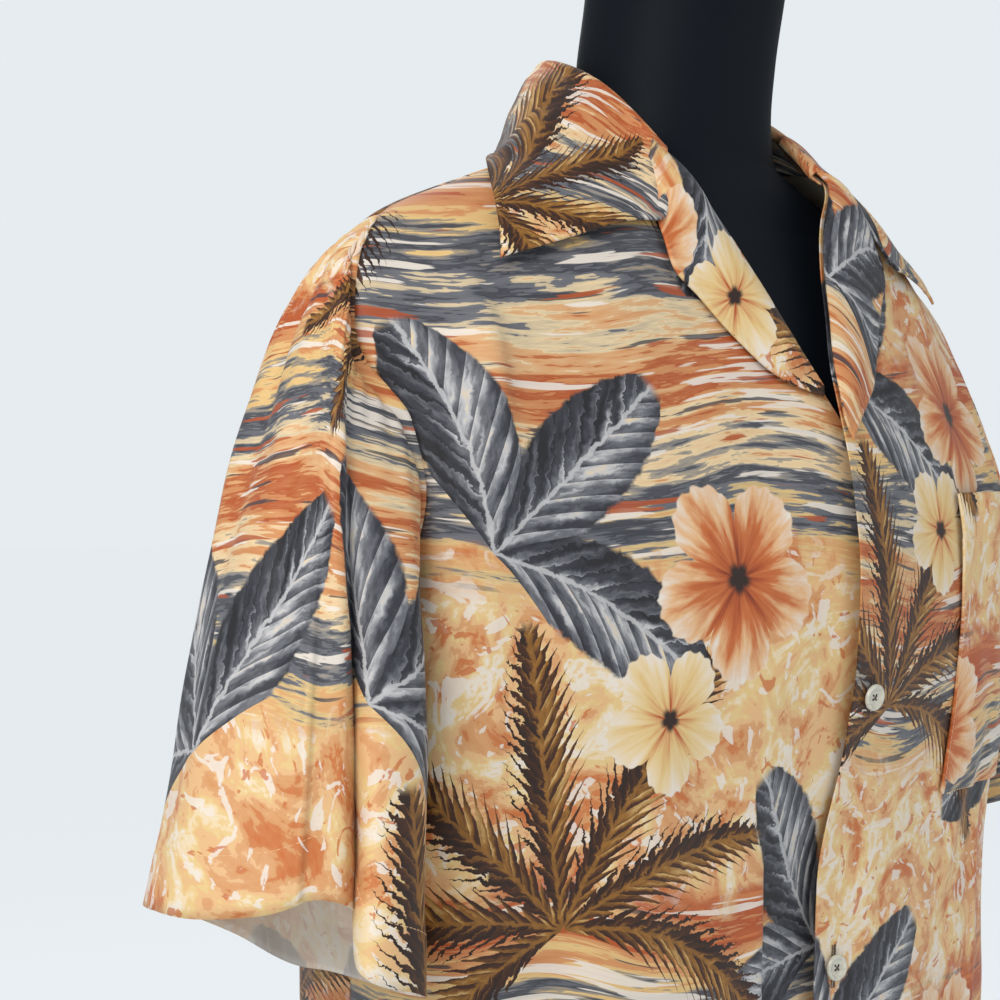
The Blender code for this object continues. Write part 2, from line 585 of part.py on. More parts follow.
def collar_grid(clear, count_share, count_stand, count_fall):
    """Points of the collar, from the right front end round the neck to the left one.

    Each column climbs the stand from the neck seam, turns over the roll and comes
    down the fall. clear is called with the fall's points and keeps them off the panels.
    """
    share = np.linspace(0, 1, count_share)
    half = np.where(share <= 0.5, share, 1 - share)
    side = np.where(share <= 0.5, -1.0, 1.0)[:, None] * np.array([1.0, 0, 0])
    side = side + np.array([0, 1.0, 1.0])

    def read(rows):
        table = columns(rows)
        return np.stack([fit(table[0], table[k], half) for k in (1, 2, 3)], axis=-1) * side

    roll, edge = read(COLLAR_ROLL), read(COLLAR_EDGE)
    on_left = (side[:, 0] > 0)[:, None]
    left_bow = 1 + (LEFT_BOW_SCALE - 1) * (1 - ease(0.30, 0.48, half))[:, None]
    roll = roll + on_left * (1 - ease(0, 0.20, half))[:, None] * LEFT_ROLL_SHIFT
    edge = edge + on_left * (1 - ease(0, 0.34, half))[:, None] * LEFT_EDGE_SHIFT
    seam = neck_seam(half, side)
    out = roll * (1, 1, 0)
    out = out / np.linalg.norm(out, axis=1, keepdims=True)
    r = COLLAR_ROLL_RADIUS
    inner = roll - out * r - (0, 0, 1.1 * r)
    outer = roll + out * r - (0, 0, 0.9 * r)
    stand = np.linspace(0, 1, count_stand)[:, None, None]
    stand = seam + (inner - seam) * stand
    turn = np.radians((35, 75, 105, 145))[:, None, None]
    bend = roll - (0, 0, r) - out * r * np.cos(turn) + np.array([0, 0, r]) * np.sin(turn)
    w = np.linspace(0, 1, count_fall)[:, None, None]
    fall = outer + (edge - outer) * w
    bow = COLLAR_BOW[0] + COLLAR_BOW[1] * ease(0.1, 0.25, half)[:, None]
    bow = np.sin(np.pi * w) * bow * np.where(on_left, left_bow, 1)
    fall = fall + bow * (out * 0.5 + (0, 0, 0.8))
    fall = fall + gorge_shift(fall, w, half, side)
    if clear:
        fall = clear(fall, COLLAR_CLEAR)
    return np.concatenate([stand, bend, fall], axis=0)


def neck_seam(half, side):
    """Points just above the neckline edges of the fronts and the back."""
    front_share = half / COLLAR_AT_SHOULDER
    back_share = (half - COLLAR_AT_SHOULDER) / (0.5 - COLLAR_AT_SHOULDER)
    neck_point = (NECK_HALF, NECK_POINT_Z)
    right = follow((RIGHT_ROLL[-1], neck_point), np.clip(front_share, 0, 1))
    left = follow((LEFT_ROLL[-1], neck_point), np.clip(front_share, 0, 1))
    behind = follow(BACK_NECKLINE[::-1], np.clip(back_share, 0, 1))
    on_right = front_right_point(right[:, 0], right[:, 1])
    on_left = front_left_point(left[:, 0], left[:, 1])
    on_back = back_point(behind[:, 0] * side[:, 0], behind[:, 1])
    in_front = np.where((side[:, 0] < 0)[:, None], on_right, on_left)
    seam = np.where((front_share <= 1)[:, None], in_front, on_back)
    return seam * NECK_INWARDS + (0, 0, NECK_GAP)


# Where the collar's front end turns from the seam with the lapel.
GORGE_SHARE = 0.36
RIGHT_GORGE_END = (0.0845, -0.0640, 0.8570)
LEFT_GORGE_END = (0.0785, -0.0810, 0.8520)


def gorge_shift(fall, w, half, side):
    """Bend the front ends of the fall down to the corner where the lapel's seam ends."""
    k = int(round(GORGE_SHARE * (len(fall) - 1)))
    right = np.array(RIGHT_GORGE_END) * side[0] - fall[k, 0]
    left = np.array(LEFT_GORGE_END) * side[-1] - fall[k, -1]
    up = np.where(w < GORGE_SHARE, w / GORGE_SHARE, (1 - w) / (1 - GORGE_SHARE))[:, 0]
    fade = (1 - ease(0.0, 0.16, half))[None, :, None]
    shifts = np.where((side[:, 0] < 0)[:, None], right, left)
    return up[:, None] * fade * shifts[None]


def form_grid(count_turn, rows=FORM_SECTIONS):
    """Points of the dress form's rings, from the bottom up."""
    angle = np.arange(count_turn) / count_turn * 2 * np.pi
    rings = []
    for z, half_width, front, back, middle_y, square in rows:
        c, s = np.cos(angle), np.sin(angle)
        x = half_width * np.sign(s) * np.abs(s) ** square
        depth = np.where(c > 0, front, back)
        y = middle_y - depth * np.sign(c) * np.abs(c) ** square
        rings.append(np.stack([x, y, np.full(count_turn, z)], axis=-1))
    return np.array(rings)


# Buttons on the left front, and the stand.
BUTTON_HEIGHTS = (0.642, 0.510, 0.378, 0.246)
BUTTON_ACROSS = 0.0105
BUTTON_RADIUS = 0.0060
BUTTON_THICK = 0.0026
BUTTON_PROFILE = (
    # radius and height, as shares of the button's radius and thickness
    (0.00, 0.00),
    (0.80, 0.00),
    (1.00, 0.35),
    (0.96, 0.85),
    (0.84, 1.00),
    (0.70, 0.90),
    (0.55, 0.62),
    (0.00, 0.55),
)
POLE_RADIUS = 0.014
BASE_RADIUS = 0.165
BASE_THICK = 0.008
BASE_ROUND = 0.003
FORM_BOTTOM_Z = FORM_SECTIONS[0][0]
AXIS_POINT = np.array([0.0, 0.0, 0.5])  # inside the garment, to tell its outside
EDGE_REACH = 0.006  # a point this far past a sheet's edge isn't under the sheet
TOUCH_GAP = 0.0003

MATERIALS = {
    "printed_cloth": ((0.72, 0.50, 0.33, 1), 0.55, 0.0),
    "pearl_button": ((0.80, 0.76, 0.66, 1), 0.22, 0.0),
    "black_form_cloth": ((0.012, 0.014, 0.018, 1), 0.45, 0.0),
    "black_metal": ((0.02, 0.02, 0.022, 1), 0.35, 0.9),
}
COLLECTION = "hawaiian_shirt_on_form"


def clear_scene():
    for obj in list(bpy.data.objects):
        bpy.data.objects.remove(obj, do_unlink=True)
    made = bpy.data.collections.new(COLLECTION)
    bpy.context.scene.collection.children.link(made)
    return made


def make_materials():
    made = {}
    for name, (colour, rough, metal) in MATERIALS.items():
        material = bpy.data.materials.new(name)
        material.use_nodes = True
        shader = material.node_tree.nodes["Principled BSDF"]
        shader.inputs["Base Color"].default_value = colour
        shader.inputs["Roughness"].default_value = rough
        shader.inputs["Metallic"].default_value = metal
        made[name] = material
    return made


def add_solid(collection, name, points, faces, material):
    """Make one closed solid with its faces outwards."""
    mesh = bpy.data.meshes.new(name)
    mesh.from_pydata([tuple(p) for p in points], [], faces)
    mesh.update()
    shape = bmesh.new()
    shape.from_mesh(mesh)
    bmesh.ops.recalc_face_normals(shape, faces=shape.faces)
    if shape.calc_volume(signed=True) < 0:
        bmesh.ops.reverse_faces(shape, faces=shape.faces)
    shape.to_mesh(mesh)
    shape.free()
    mesh.materials.append(material)
    obj = bpy.data.objects.new(name, mesh)
    collection.objects.link(obj)
    return obj


def wall_faces(rows, count, wrap):
    """Faces of a wall whose outer points come first and whose inner ones follow."""
    size = rows * count
    reach = count if wrap else count - 1
    faces = []
    for i in range(rows - 1):
        for j in range(reach):
            a, b = i * count + j, i * count + (j + 1) % count
            c, d = b + count, a + count
            faces.append((a, b, c, d))
            faces.append((size + d, size + c, size + b, size + a))
    for i in (0, rows - 1):
        for j in range(reach):
            a, b = i * count + j, i * count + (j + 1) % count
            rim = (a, b, size + b, size + a)
            faces.append(rim if i else rim[::-1])
    if not wrap:
        for j in (0, count - 1):
            for i in range(rows - 1):
                a, b = i * count + j, (i + 1) * count + j
                rim = (a, b, size + b, size + a)
                faces.append(rim[::-1] if j else rim)
    return faces


def add_wall(collection, name, grid, material, wrap=False, seam_plane=None):
    """Make a wall of even thickness round a grid of points.

    seam_plane marks the points whose wall ends square to the Y axis, at a seam.
    """
    normal = normals_of(grid, wrap)
    if seam_plane is not None:
        normal[seam_plane, 1] = 0
        normal /= np.linalg.norm(normal, axis=-1, keepdims=True)
    outer = (grid + normal * WALL / 2).reshape(-1, 3)
    inner = (grid - normal * WALL / 2).reshape(-1, 3)
    faces = wall_faces(grid.shape[0], grid.shape[1], wrap)
    return add_solid(collection, name, np.vstack([outer, inner]), faces, material)


def front_grid(side, count_s, count_t):
    """Points of a front and which of them lie on its shoulder and side seams."""
    if side < 0:
        places = panel_places(RIGHT_ROLL, RIGHT_FRONT_ARMHOLE, -UNDERLAP, count_s, count_t)
        grid = front_right_point(places[..., 0], places[..., 1])
    else:
        places = panel_places(LEFT_ROLL, LEFT_FRONT_ARMHOLE, OVERLAP_EDGE, count_s, count_t)
        grid = front_left_point(places[..., 0], places[..., 1])
    seam = seam_points(places)
    grid[seam, 1] -= SEAM_GAP / 2
    return grid, seam


def seam_points(places):
    """Mark the shoulder seam in the first row and the side seam in the last column."""
    seam = np.zeros(places.shape[:2], bool)
    seam[0] = np.abs(places[0, :, 0]) >= NECK_HALF - 1e-6
    seam[:, -1] = places[:, -1, 1] <= UNDERARM_Z + 1e-6
    return seam


def back_grid(count_s, count_t):
    places = panel_places(BACK_NECKLINE, BACK_ARMHOLE, 0.0, count_s, count_t)
    seam = seam_points(places)
    half = back_point(places[..., 0], places[..., 1])
    half[seam, 1] += SEAM_GAP / 2
    other = (half * (-1, 1, 1))[:, :0:-1]
    both = np.concatenate([seam[:, :0:-1], seam], axis=1)
    return np.concatenate([other, half], axis=1), both


def keep_clear(grids):
    """A function that moves points off these sheets, out to a least distance."""
    points, faces = [], []
    for grid in grids:
        start = len(points)
        rows, count = grid.shape[:2]
        points.extend(grid.reshape(-1, 3).tolist())
        at = np.arange(rows * count).reshape(rows, count) + start
        quads = np.stack([at[:-1, :-1], at[:-1, 1:], at[1:, 1:], at[1:, :-1]], axis=-1)
        faces.extend(quads.reshape(-1, 4).tolist())
    tree = BVHTree.FromPolygons(points, faces)

    def clear(moving, least):
        flat = moving.reshape(-1, 3).copy()
        for k, point in enumerate(flat):
            place, normal, _, _ = tree.find_nearest(point.tolist())
            place = np.array(place)
            normal = np.array(normal)
            if np.dot(normal * (1, 1, 0.3), place - AXIS_POINT) < 0:
                normal = -normal
            off = point - place
            height = np.dot(off, normal)
            far = np.linalg.norm(off)
            if 0 < height and far < least:
                flat[k] = place + off * (least / far)
            elif height <= 0 and far + height < EDGE_REACH:
                flat[k] = place + normal * least
        return flat.reshape(moving.shape)

    return clear


def turned(profile, radius, height, sides):
    """Points and faces of a turned solid that stands on z = 0."""
    points = [(0, 0, profile[0][1] * height)]
    for r, h in profile[1:-1]:
        for k in range(sides):
            angle = 2 * np.pi * k / sides
            points.append((r * radius * np.cos(angle), r * radius * np.sin(angle), h * height))
    points.append((0, 0, profile[-1][1] * height))
    last = len(points) - 1
    rings = len(profile) - 2
    faces = []
    for k in range(sides):
        n = (k + 1) % sides
        faces.append((0, 1 + n, 1 + k))
        for ring in range(rings - 1):
            a, b = 1 + ring * sides + k, 1 + ring * sides + n
            faces.append((a, b, b + sides, a + sides))
        top = 1 + (rings - 1) * sides
        faces.append((last, top + k, top + n))
    return np.array(points), faces


def add_button(collection, name, z, material):
    """Lay a button on the left front, facing out."""
    at = np.array([z])
    across = np.array([BUTTON_ACROSS])
    seat = moved_out(front_left_point, across, at, np.array([WALL / 2 + 2 * TOUCH_GAP]))[0]
    ahead = moved_out(front_left_point, across, at, np.array([0.02]))[0]
    axis = (ahead - seat) / np.linalg.norm(ahead - seat)
    side = np.cross((0, 0, 1), axis)
    side /= np.linalg.norm(side)
    up = np.cross(axis, side)
    points, faces = turned(BUTTON_PROFILE, BUTTON_RADIUS, BUTTON_THICK, 18)
    world = seat + points @ np.array([side, up, axis])
    return add_solid(collection, name, world, faces, material)


def add_form(collection, material):
    """The torso and neck, closed at both ends."""
    rings = form_grid(32)
    count = rings.shape[1]
    points = rings.reshape(-1, 3)
    faces = []
    for i in range(len(rings) - 1):
        for k in range(count):
            a, b = i * count + k, i * count + (k + 1) % count
            faces.append((a, b, b + count, a + count))
    faces.append(tuple(range(count))[::-1])
    faces.append(tuple(range(len(points) - count, len(points))))
    return add_solid(collection, "form_body", points, faces, material)


def add_turned(collection, name, profile, bottom_z, material, sides=32):
    points, faces = turned(profile, 1.0, 1.0, sides)
    return add_solid(collection, name, points + (0, 0, bottom_z), faces, material)


def build():
    cloth_in = clear_scene()
    material = make_materials()
    cloth = material["printed_cloth"]
    right, right_seam = front_grid(-1, 20, 28)
    left, left_seam = front_grid(1, 19, 28)
    back, back_seam = back_grid(12, 24)
    add_wall(cloth_in, "front_right", right, cloth, seam_plane=right_seam)
    add_wall(cloth_in, "front_left", left, cloth, seam_plane=left_seam)
    add_wall(cloth_in, "back", back, cloth, seam_plane=back_seam)
    clear = keep_clear([right, left, back])
    for side, name in ((-1, "sleeve_right"), (1, "sleeve_left")):
        sleeve = sleeve_grid(side, 52, 11, clear)
        add_wall(cloth_in, name, sleeve, cloth, wrap=True)
    for side, name in ((-1, "lapel_right"), (1, "lapel_left")):
        lapel = clear(lapel_grid(side, 13, 6), LAPEL_CLEAR)
        add_wall(cloth_in, name, lapel, cloth)
    pocket = clear(pocket_grid(9, 10), LAPEL_CLEAR)
    add_wall(cloth_in, "pocket", pocket, cloth)
    collar = collar_grid(clear, 33, 3, 8)
    add_wall(cloth_in, "collar", collar, cloth)
    for number, z in enumerate(BUTTON_HEIGHTS, 1):
        add_button(cloth_in, f"button_{number}", z, material["pearl_button"])
    add_form(cloth_in, material["black_form_cloth"])
    pole_top = FORM_BOTTOM_Z - TOUCH_GAP
    pole_bottom = BASE_THICK + TOUCH_GAP
    length = pole_top - pole_bottom
    pole = ((0, 0), (POLE_RADIUS, 0), (POLE_RADIUS, length), (0, length))
    add_turned(cloth_in, "form_pole", pole, pole_bottom, material["black_metal"], 20)
    rim = BASE_RADIUS - BASE_ROUND
    edge = BASE_THICK - BASE_ROUND
    base = ((0, 0), (BASE_RADIUS, 0), (BASE_RADIUS, edge), (rim, BASE_THICK), (0, BASE_THICK))
    add_turned(cloth_in, "form_base", base, 0.0, material["black_metal"], 40)


build()
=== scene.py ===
"""Looks of the hawaiian shirt and its dress form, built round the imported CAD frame."""

import bpy
import numpy as np
from mathutils.bvhtree import BVHTree
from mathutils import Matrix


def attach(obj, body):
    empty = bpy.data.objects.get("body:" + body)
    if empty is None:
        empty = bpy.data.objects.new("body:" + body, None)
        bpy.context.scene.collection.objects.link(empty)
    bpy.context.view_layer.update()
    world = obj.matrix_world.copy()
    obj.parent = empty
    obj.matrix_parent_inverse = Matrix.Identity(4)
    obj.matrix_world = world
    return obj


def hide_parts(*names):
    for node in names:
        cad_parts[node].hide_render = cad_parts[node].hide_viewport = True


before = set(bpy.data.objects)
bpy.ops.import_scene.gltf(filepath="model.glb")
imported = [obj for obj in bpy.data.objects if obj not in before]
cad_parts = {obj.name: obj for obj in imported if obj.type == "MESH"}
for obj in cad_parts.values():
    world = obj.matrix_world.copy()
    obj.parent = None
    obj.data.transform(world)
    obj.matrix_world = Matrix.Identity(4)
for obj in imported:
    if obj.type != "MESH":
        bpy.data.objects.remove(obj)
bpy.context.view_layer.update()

# Sizes, in metres. +Z is up, the front faces -Y and the wearer's right is -X.
NECK_POINT_Z = 0.910  # the shoulder seam's end at the neck
BODY_LENGTH = 0.775
HEM_Z = NECK_POINT_Z - BODY_LENGTH
NECK_HALF = 0.075  # from the middle to the neck point
SHOULDER_SLOPE = 0.38  # drop for each metre outwards
SHOULDER_FRONT_ROUND = 0.045  # height over which the cloth turns over the shoulder, at the neck
SHOULDER_END_ROUND = 0.085  # and at the armhole
UNDERARM_Z = 0.620
SIDE_ACROSS = 0.293  # cloth from the middle of the front or back to the side seam
SOFTEN = 0.009  # distance over which a bend across a panel is rounded
UNDERLAP = 0.022  # how far the right front runs on under the left one
OVERLAP_EDGE = -0.004  # how far short of the middle the left front's edge stands
WALL = 0.0007  # thickness of one layer of the cloth
LAY_GAP = 0.0013  # between a piece and the panel that it lies on
ROW_CROWDING = 1.5  # how much closer the rows of points lie towards a piece's top
SIDE_CALM = 0.03  # cloth beside the side seam over which bends and folds fade out
AXIS_POINT = np.array([0.0, 0.0, 0.5])  # inside the garment, to tell its outside
OUTWARDS = (1, 1, 0.3)  # how much each direction counts when that is told
EDGE_REACH = 0.006  # a point this far past a sheet's edge isn't under the sheet

# Level sections of the right front, from the hem up: x is out from the middle, y is back.
# Columns: z centre_y mid_y ridge_x ridge_y turn_x turn_y side_x side_y
RIGHT_FRONT_SECTIONS = (
    (0.135, -0.097, -0.090, 0.206, -0.060, 0.226, -0.038, 0.203, 0.012),
    (0.300, -0.096, -0.089, 0.208, -0.059, 0.226, -0.038, 0.204, 0.012),
    (0.450, -0.095, -0.088, 0.212, -0.058, 0.227, -0.038, 0.206, 0.012),
    (0.550, -0.096, -0.088, 0.216, -0.058, 0.228, -0.038, 0.207, 0.012),
    (0.620, -0.101, -0.089, 0.218, -0.059, 0.230, -0.038, 0.207, 0.010),
    (0.660, -0.107, -0.091, 0.219, -0.060, 0.232, -0.038, 0.207, 0.010),
    (0.700, -0.109, -0.090, 0.219, -0.060, 0.234, -0.036, 0.208, 0.010),
    (0.740, -0.105, -0.086, 0.215, -0.059, 0.234, -0.040, 0.236, 0.000),
    (0.785, -0.095, -0.080, 0.206, -0.056, 0.247, -0.036, 0.285, -0.014),
    (0.820, -0.085, -0.074, 0.203, -0.055, 0.246, -0.036, 0.286, -0.016),
    (0.860, -0.074, -0.066, 0.200, -0.053, 0.244, -0.036, 0.285, -0.018),
    (0.920, -0.058, -0.058, 0.198, -0.050, 0.242, -0.035, 0.284, -0.018),
)
LEFT_FRONT_SECTIONS = (
    (0.135, -0.0935, -0.089, 0.190, -0.067, 0.210, -0.034, 0.203, 0.012),
    (0.300, -0.0890, -0.087, 0.189, -0.067, 0.210, -0.034, 0.204, 0.012),
    (0.450, -0.0875, -0.086, 0.188, -0.069, 0.210, -0.034, 0.206, 0.012),
    (0.550, -0.0900, -0.089, 0.186, -0.073, 0.210, -0.036, 0.207, 0.012),
    (0.620, -0.1060, -0.101, 0.183, -0.084, 0.210, -0.040, 0.207, 0.010),
    (0.660, -0.1130, -0.106, 0.182, -0.089, 0.210, -0.042, 0.207, 0.010),
    (0.700, -0.1150, -0.107, 0.182, -0.090, 0.212, -0.042, 0.208, 0.010),
    (0.740, -0.1110, -0.103, 0.184, -0.084, 0.222, -0.040, 0.240, 0.000),
    (0.785, -0.1005, -0.092, 0.189, -0.063, 0.226, -0.034, 0.266, -0.008),
    (0.820, -0.0865, -0.079, 0.191, -0.050, 0.230, -0.028, 0.270, -0.008),
    (0.860, -0.0720, -0.068, 0.193, -0.047, 0.233, -0.026, 0.271, -0.010),
    (0.920, -0.0600, -0.058, 0.194, -0.046, 0.234, -0.026, 0.272, -0.010),
)
BACK_SECTIONS = (
    (0.135, 0.100, 0.098, 0.170, 0.082, 0.208, 0.062, 0.203, 0.012),
    (0.300, 0.098, 0.096, 0.171, 0.081, 0.209, 0.060, 0.204, 0.012),
    (0.450, 0.096, 0.094, 0.172, 0.080, 0.210, 0.058, 0.206, 0.012),
    (0.550, 0.097, 0.095, 0.174, 0.079, 0.211, 0.056, 0.207, 0.012),
    (0.620, 0.099, 0.096, 0.177, 0.078, 0.212, 0.054, 0.207, 0.010),
    (0.700, 0.101, 0.097, 0.182, 0.072, 0.216, 0.050, 0.222, 0.026),
    (0.780, 0.098, 0.092, 0.184, 0.060, 0.222, 0.038, 0.256, 0.014),
    (0.840, 0.086, 0.080, 0.186, 0.050, 0.224, 0.032, 0.260, 0.010),
    (0.900, 0.068, 0.068, 0.186, 0.046, 0.224, 0.030, 0.262, 0.012),
    (0.940, 0.062, 0.062, 0.186, 0.046, 0.224, 0.030, 0.262, 0.012),
)
# Where each armhole seam runs, from the shoulder down to the underarm.
# Columns: across z
RIGHT_FRONT_ARMHOLE = (
    (0.2070, 0.8598),
    (0.2273, 0.8434),
    (0.2360, 0.8312),
    (0.2420, 0.8160),
    (0.2445, 0.8020),
    (0.2420, 0.7908),
    (0.2350, 0.7810),
    (0.2290, 0.7680),
    (0.2290, 0.7400),
    (0.2440, 0.7000),
    (0.2640, 0.6600),
    (0.2930, 0.6200),
)
LEFT_FRONT_ARMHOLE = (
    (0.2070, 0.8598),
    (0.2205, 0.8434),
    (0.2225, 0.8312),
    (0.2245, 0.8160),
    (0.2265, 0.8000),
    (0.2290, 0.7800),
    (0.2290, 0.7620),
    (0.2250, 0.7480),
    (0.2160, 0.7380),
    (0.2110, 0.7240),
    (0.2150, 0.7000),
    (0.2320, 0.6700),
    (0.2580, 0.6420),
    (0.2930, 0.6200),
)
BACK_ARMHOLE = (
    (0.2070, 0.8598),
    (0.2300, 0.8400),
    (0.2360, 0.8150),
    (0.2330, 0.7850),
    (0.2290, 0.7550),
    (0.2310, 0.7200),
    (0.2420, 0.6850),
    (0.2640, 0.6500),
    (0.2930, 0.6200),
)
BACK_NECKLINE = ((0.0, 0.8980), (0.030, 0.8995), (0.057, 0.9040), (NECK_HALF, NECK_POINT_Z))
# Roll line of each front from its lower end up to where the collar starts: across, z.
RIGHT_ROLL = (
    (-0.0220, 0.7480),
    (0.0025, 0.7825),
    (0.0150, 0.8010),
    (0.0290, 0.8250),
    (0.0465, 0.8510),
    (0.0610, 0.8720),
    (0.0690, 0.8950),
)
LEFT_ROLL = (
    (OVERLAP_EDGE, 0.7700),
    (-0.0030, 0.7890),
    (0.0100, 0.8230),
    (0.0210, 0.8520),
    (0.0280, 0.8700),
    (0.0365, 0.8840),
    (0.0480, 0.8955),
)
# A lapel from its lower end to the collar: height on the roll line, then its outer edge.
# Columns: share roll_z edge_across edge_z
RIGHT_LAPEL = (
    (0.00, 0.7880, 0.0090, 0.7830),
    (0.15, 0.8030, 0.0345, 0.7905),
    (0.40, 0.8260, 0.0590, 0.8075),
    (0.65, 0.8530, 0.0780, 0.8260),
    (0.83, 0.8740, 0.0910, 0.8390),
    (0.93, 0.8850, 0.0935, 0.8510),
    (1.00, 0.8925, 0.0950, 0.8595),
    (1.08, 0.8975, 0.0920, 0.8735),
    (1.16, 0.9010, 0.0870, 0.8850),
)
LEFT_LAPEL = (
    (0.00, 0.7730, -0.0015, 0.7625),
    (0.15, 0.7900, 0.0100, 0.7740),
    (0.40, 0.8200, 0.0290, 0.7910),
    (0.65, 0.8480, 0.0480, 0.8150),
    (0.85, 0.8720, 0.0670, 0.8370),
    (0.93, 0.8830, 0.0745, 0.8440),
    (1.00, 0.8930, 0.0765, 0.8500),
    (1.08, 0.8980, 0.0735, 0.8640),
    (1.16, 0.9010, 0.0725, 0.8760),
)
# The patch pocket on the left front, as places on that front.
POCKET_IN = 0.098
POCKET_OUT = 0.202
POCKET_TOP_Z = 0.738
POCKET_BOTTOM_Z = 0.584
POCKET_GAPE = 0.0055  # how far the middle of its mouth stands off

LAPEL_SWELL = 0.0045  # how far the middle of a lapel stands off the front
LAPEL_CLEAR = 0.0022
LAPEL_END = 1.16  # a lapel runs on under the collar

# Long soft folds of each panel, about their middles.
# Columns: across z half_height half_width out
RIGHT_FRONT_FOLDS = (
    (0.195, 0.790, 0.070, 0.010, 0.0040),
    (0.120, 0.560, 0.160, 0.030, 0.0035),
    (0.080, 0.250, 0.180, 0.030, 0.0070),
    (0.150, 0.220, 0.200, 0.026, 0.0080),
)
LEFT_FRONT_FOLDS = (
    (0.060, 0.300, 0.220, 0.026, 0.0060),
    (0.125, 0.230, 0.200, 0.024, 0.0075),
    (0.170, 0.800, 0.060, 0.012, 0.0030),
)
BACK_FOLDS = (
    (0.035, 0.420, 0.300, 0.026, 0.0060),
    (0.105, 0.330, 0.300, 0.026, 0.0085),
    (0.160, 0.560, 0.160, 0.018, 0.0050),
)
# The right front steps back beside the left front's edge, below the chest.
STEP_ACROSS = 0.042
STEP_WIDTH = 0.014
STEP_DEPTH = 0.0140
STEP_TOP_Z = 0.620

# Hem of a sleeve, from its outer side round the front, the underarm and the back.
# Columns: turn x y z
RIGHT_SLEEVE_HEM = (
    (0.00, 0.318, -0.004, 0.577),
    (0.06, 0.318, -0.030, 0.578),
    (0.13, 0.3045, -0.0555, 0.5815),
    (0.20, 0.2905, -0.0655, 0.5865),
    (0.25, 0.2800, -0.0715, 0.5835),
    (0.30, 0.2660, -0.0610, 0.5730),
    (0.335, 0.2815, -0.0840, 0.5595),
    (0.375, 0.2605, -0.0880, 0.5505),
    (0.41, 0.2430, -0.0750, 0.5430),
    (0.45, 0.234, -0.050, 0.538),
    (0.50, 0.224, -0.012, 0.534),
    (0.56, 0.222, 0.010, 0.533),
    (0.64, 0.228, 0.030, 0.534),
    (0.74, 0.248, 0.039, 0.548),
    (0.84, 0.276, 0.037, 0.562),
    (0.93, 0.304, 0.022, 0.573),
)
LEFT_SLEEVE_SHIFT = (-0.010, 0.026, 0.014)  # the far sleeve hangs further back
# Share of each armhole, from the shoulder, that stands over each part of the hem.
# Columns: turn front_share back_share
SEAM_SHARES = (
    (0.00, 0.00, 0.00),
    (0.06, 0.05, 0.08),
    (0.13, 0.11, 0.16),
    (0.21, 0.18, 0.28),
    (0.27, 0.24, 0.38),
    (0.31, 0.28, 0.45),
    (0.35, 0.34, 0.55),
    (0.40, 0.43, 0.68),
    (0.45, 0.70, 0.85),
    (0.50, 1.00, 1.00),
)

# How the cloth leaves the seam and comes to the hem, as pulls in metres.
# Columns: turn out_x out_y out_z hem_pull
SLEEVE_PULLS = (
    (0.00, 0.045, -0.002, -0.030, 0.120),
    (0.13, 0.032, -0.018, -0.030, 0.115),
    (0.25, 0.028, -0.034, -0.036, 0.100),
    (0.31, 0.026, -0.028, -0.040, 0.090),
    (0.36, 0.010, -0.036, -0.060, 0.080),
    (0.42, 0.016, -0.026, -0.050, 0.070),
    (0.50, 0.022, 0.000, -0.018, 0.030),
    (0.58, 0.016, 0.016, -0.044, 0.060),
    (0.70, 0.024, 0.024, -0.066, 0.080),
    (0.85, 0.034, 0.018, -0.056, 0.110),
)
SLEEVE_LEAVE = 0.010  # how strongly the sleeve carries on from the panel at the seam
SLEEVE_GAP = 0.0001  # the sleeve starts at the panel's edge
SLEEVE_CLEAR = 0.0018  # least distance from a sleeve to a panel
LEFT_PULL_SCALE = (0.8, 0.7, 1.0)
HEM_LEAN = (0.27, 0.12, 0)  # share of the sleeve's spread still to come above the hem

# Collar, from its front end (0) to the middle of the back (0.5): roll, then outer edge.
# Columns: share x y z
COLLAR_ROLL = (
    (0.00, 0.0680, -0.0500, 0.8995),
    (0.08, 0.0685, -0.0350, 0.9150),
    (0.17, 0.0670, -0.0090, 0.9365),
    (0.25, 0.0640, 0.0140, 0.9490),
    (0.33, 0.0560, 0.0360, 0.9570),
    (0.42, 0.0360, 0.0570, 0.9620),
    (0.50, 0.0000, 0.0660, 0.9640),
)
COLLAR_EDGE = (
    (0.00, 0.1785, -0.0500, 0.8355),
    (0.08, 0.1655, -0.0325, 0.8550),
    (0.17, 0.1470, -0.0120, 0.8735),
    (0.25, 0.1225, 0.0085, 0.8890),
    (0.33, 0.0905, 0.0395, 0.8995),
    (0.42, 0.0500, 0.0780, 0.8985),
    (0.50, 0.0000, 0.0940, 0.8950),
)
LEFT_ROLL_SHIFT = (-0.0190, -0.0042, 0.0036)  # how the left front end differs from the right one
LEFT_EDGE_SHIFT = (-0.0380, -0.0100, 0.0040)
COLLAR_BOW = (0.004, 0.004)  # how far the fall stands out: at its front ends, and more behind
LEFT_BOW_SCALE = 3.0
COLLAR_ROLL_RADIUS = 0.0034
COLLAR_CLEAR = 0.0048  # least distance from the collar's fall to a panel

COLLAR_AT_SHOULDER = 0.22  # where along the collar the shoulder seam meets it
NECK_INWARDS = (0.985, 1.0, 1.0)
COLLAR_BEND_TURNS = (35, 75, 105, 145)  # degrees of the roll at which its points stand
# Where the collar's front end turns from the seam with the lapel, and how far along that fades.
GORGE_SHARE = 0.36
GORGE_FADE = 0.16
RIGHT_GORGE_END = (0.0902, -0.0608, 0.8575)
LEFT_GORGE_END = (0.0785, -0.0810, 0.8520)

# Shares of a front's grid: of its top edge for the neckline, of its side for the armhole.
NECK_SHARE = 0.47
ARMHOLE_SHARE = 0.36

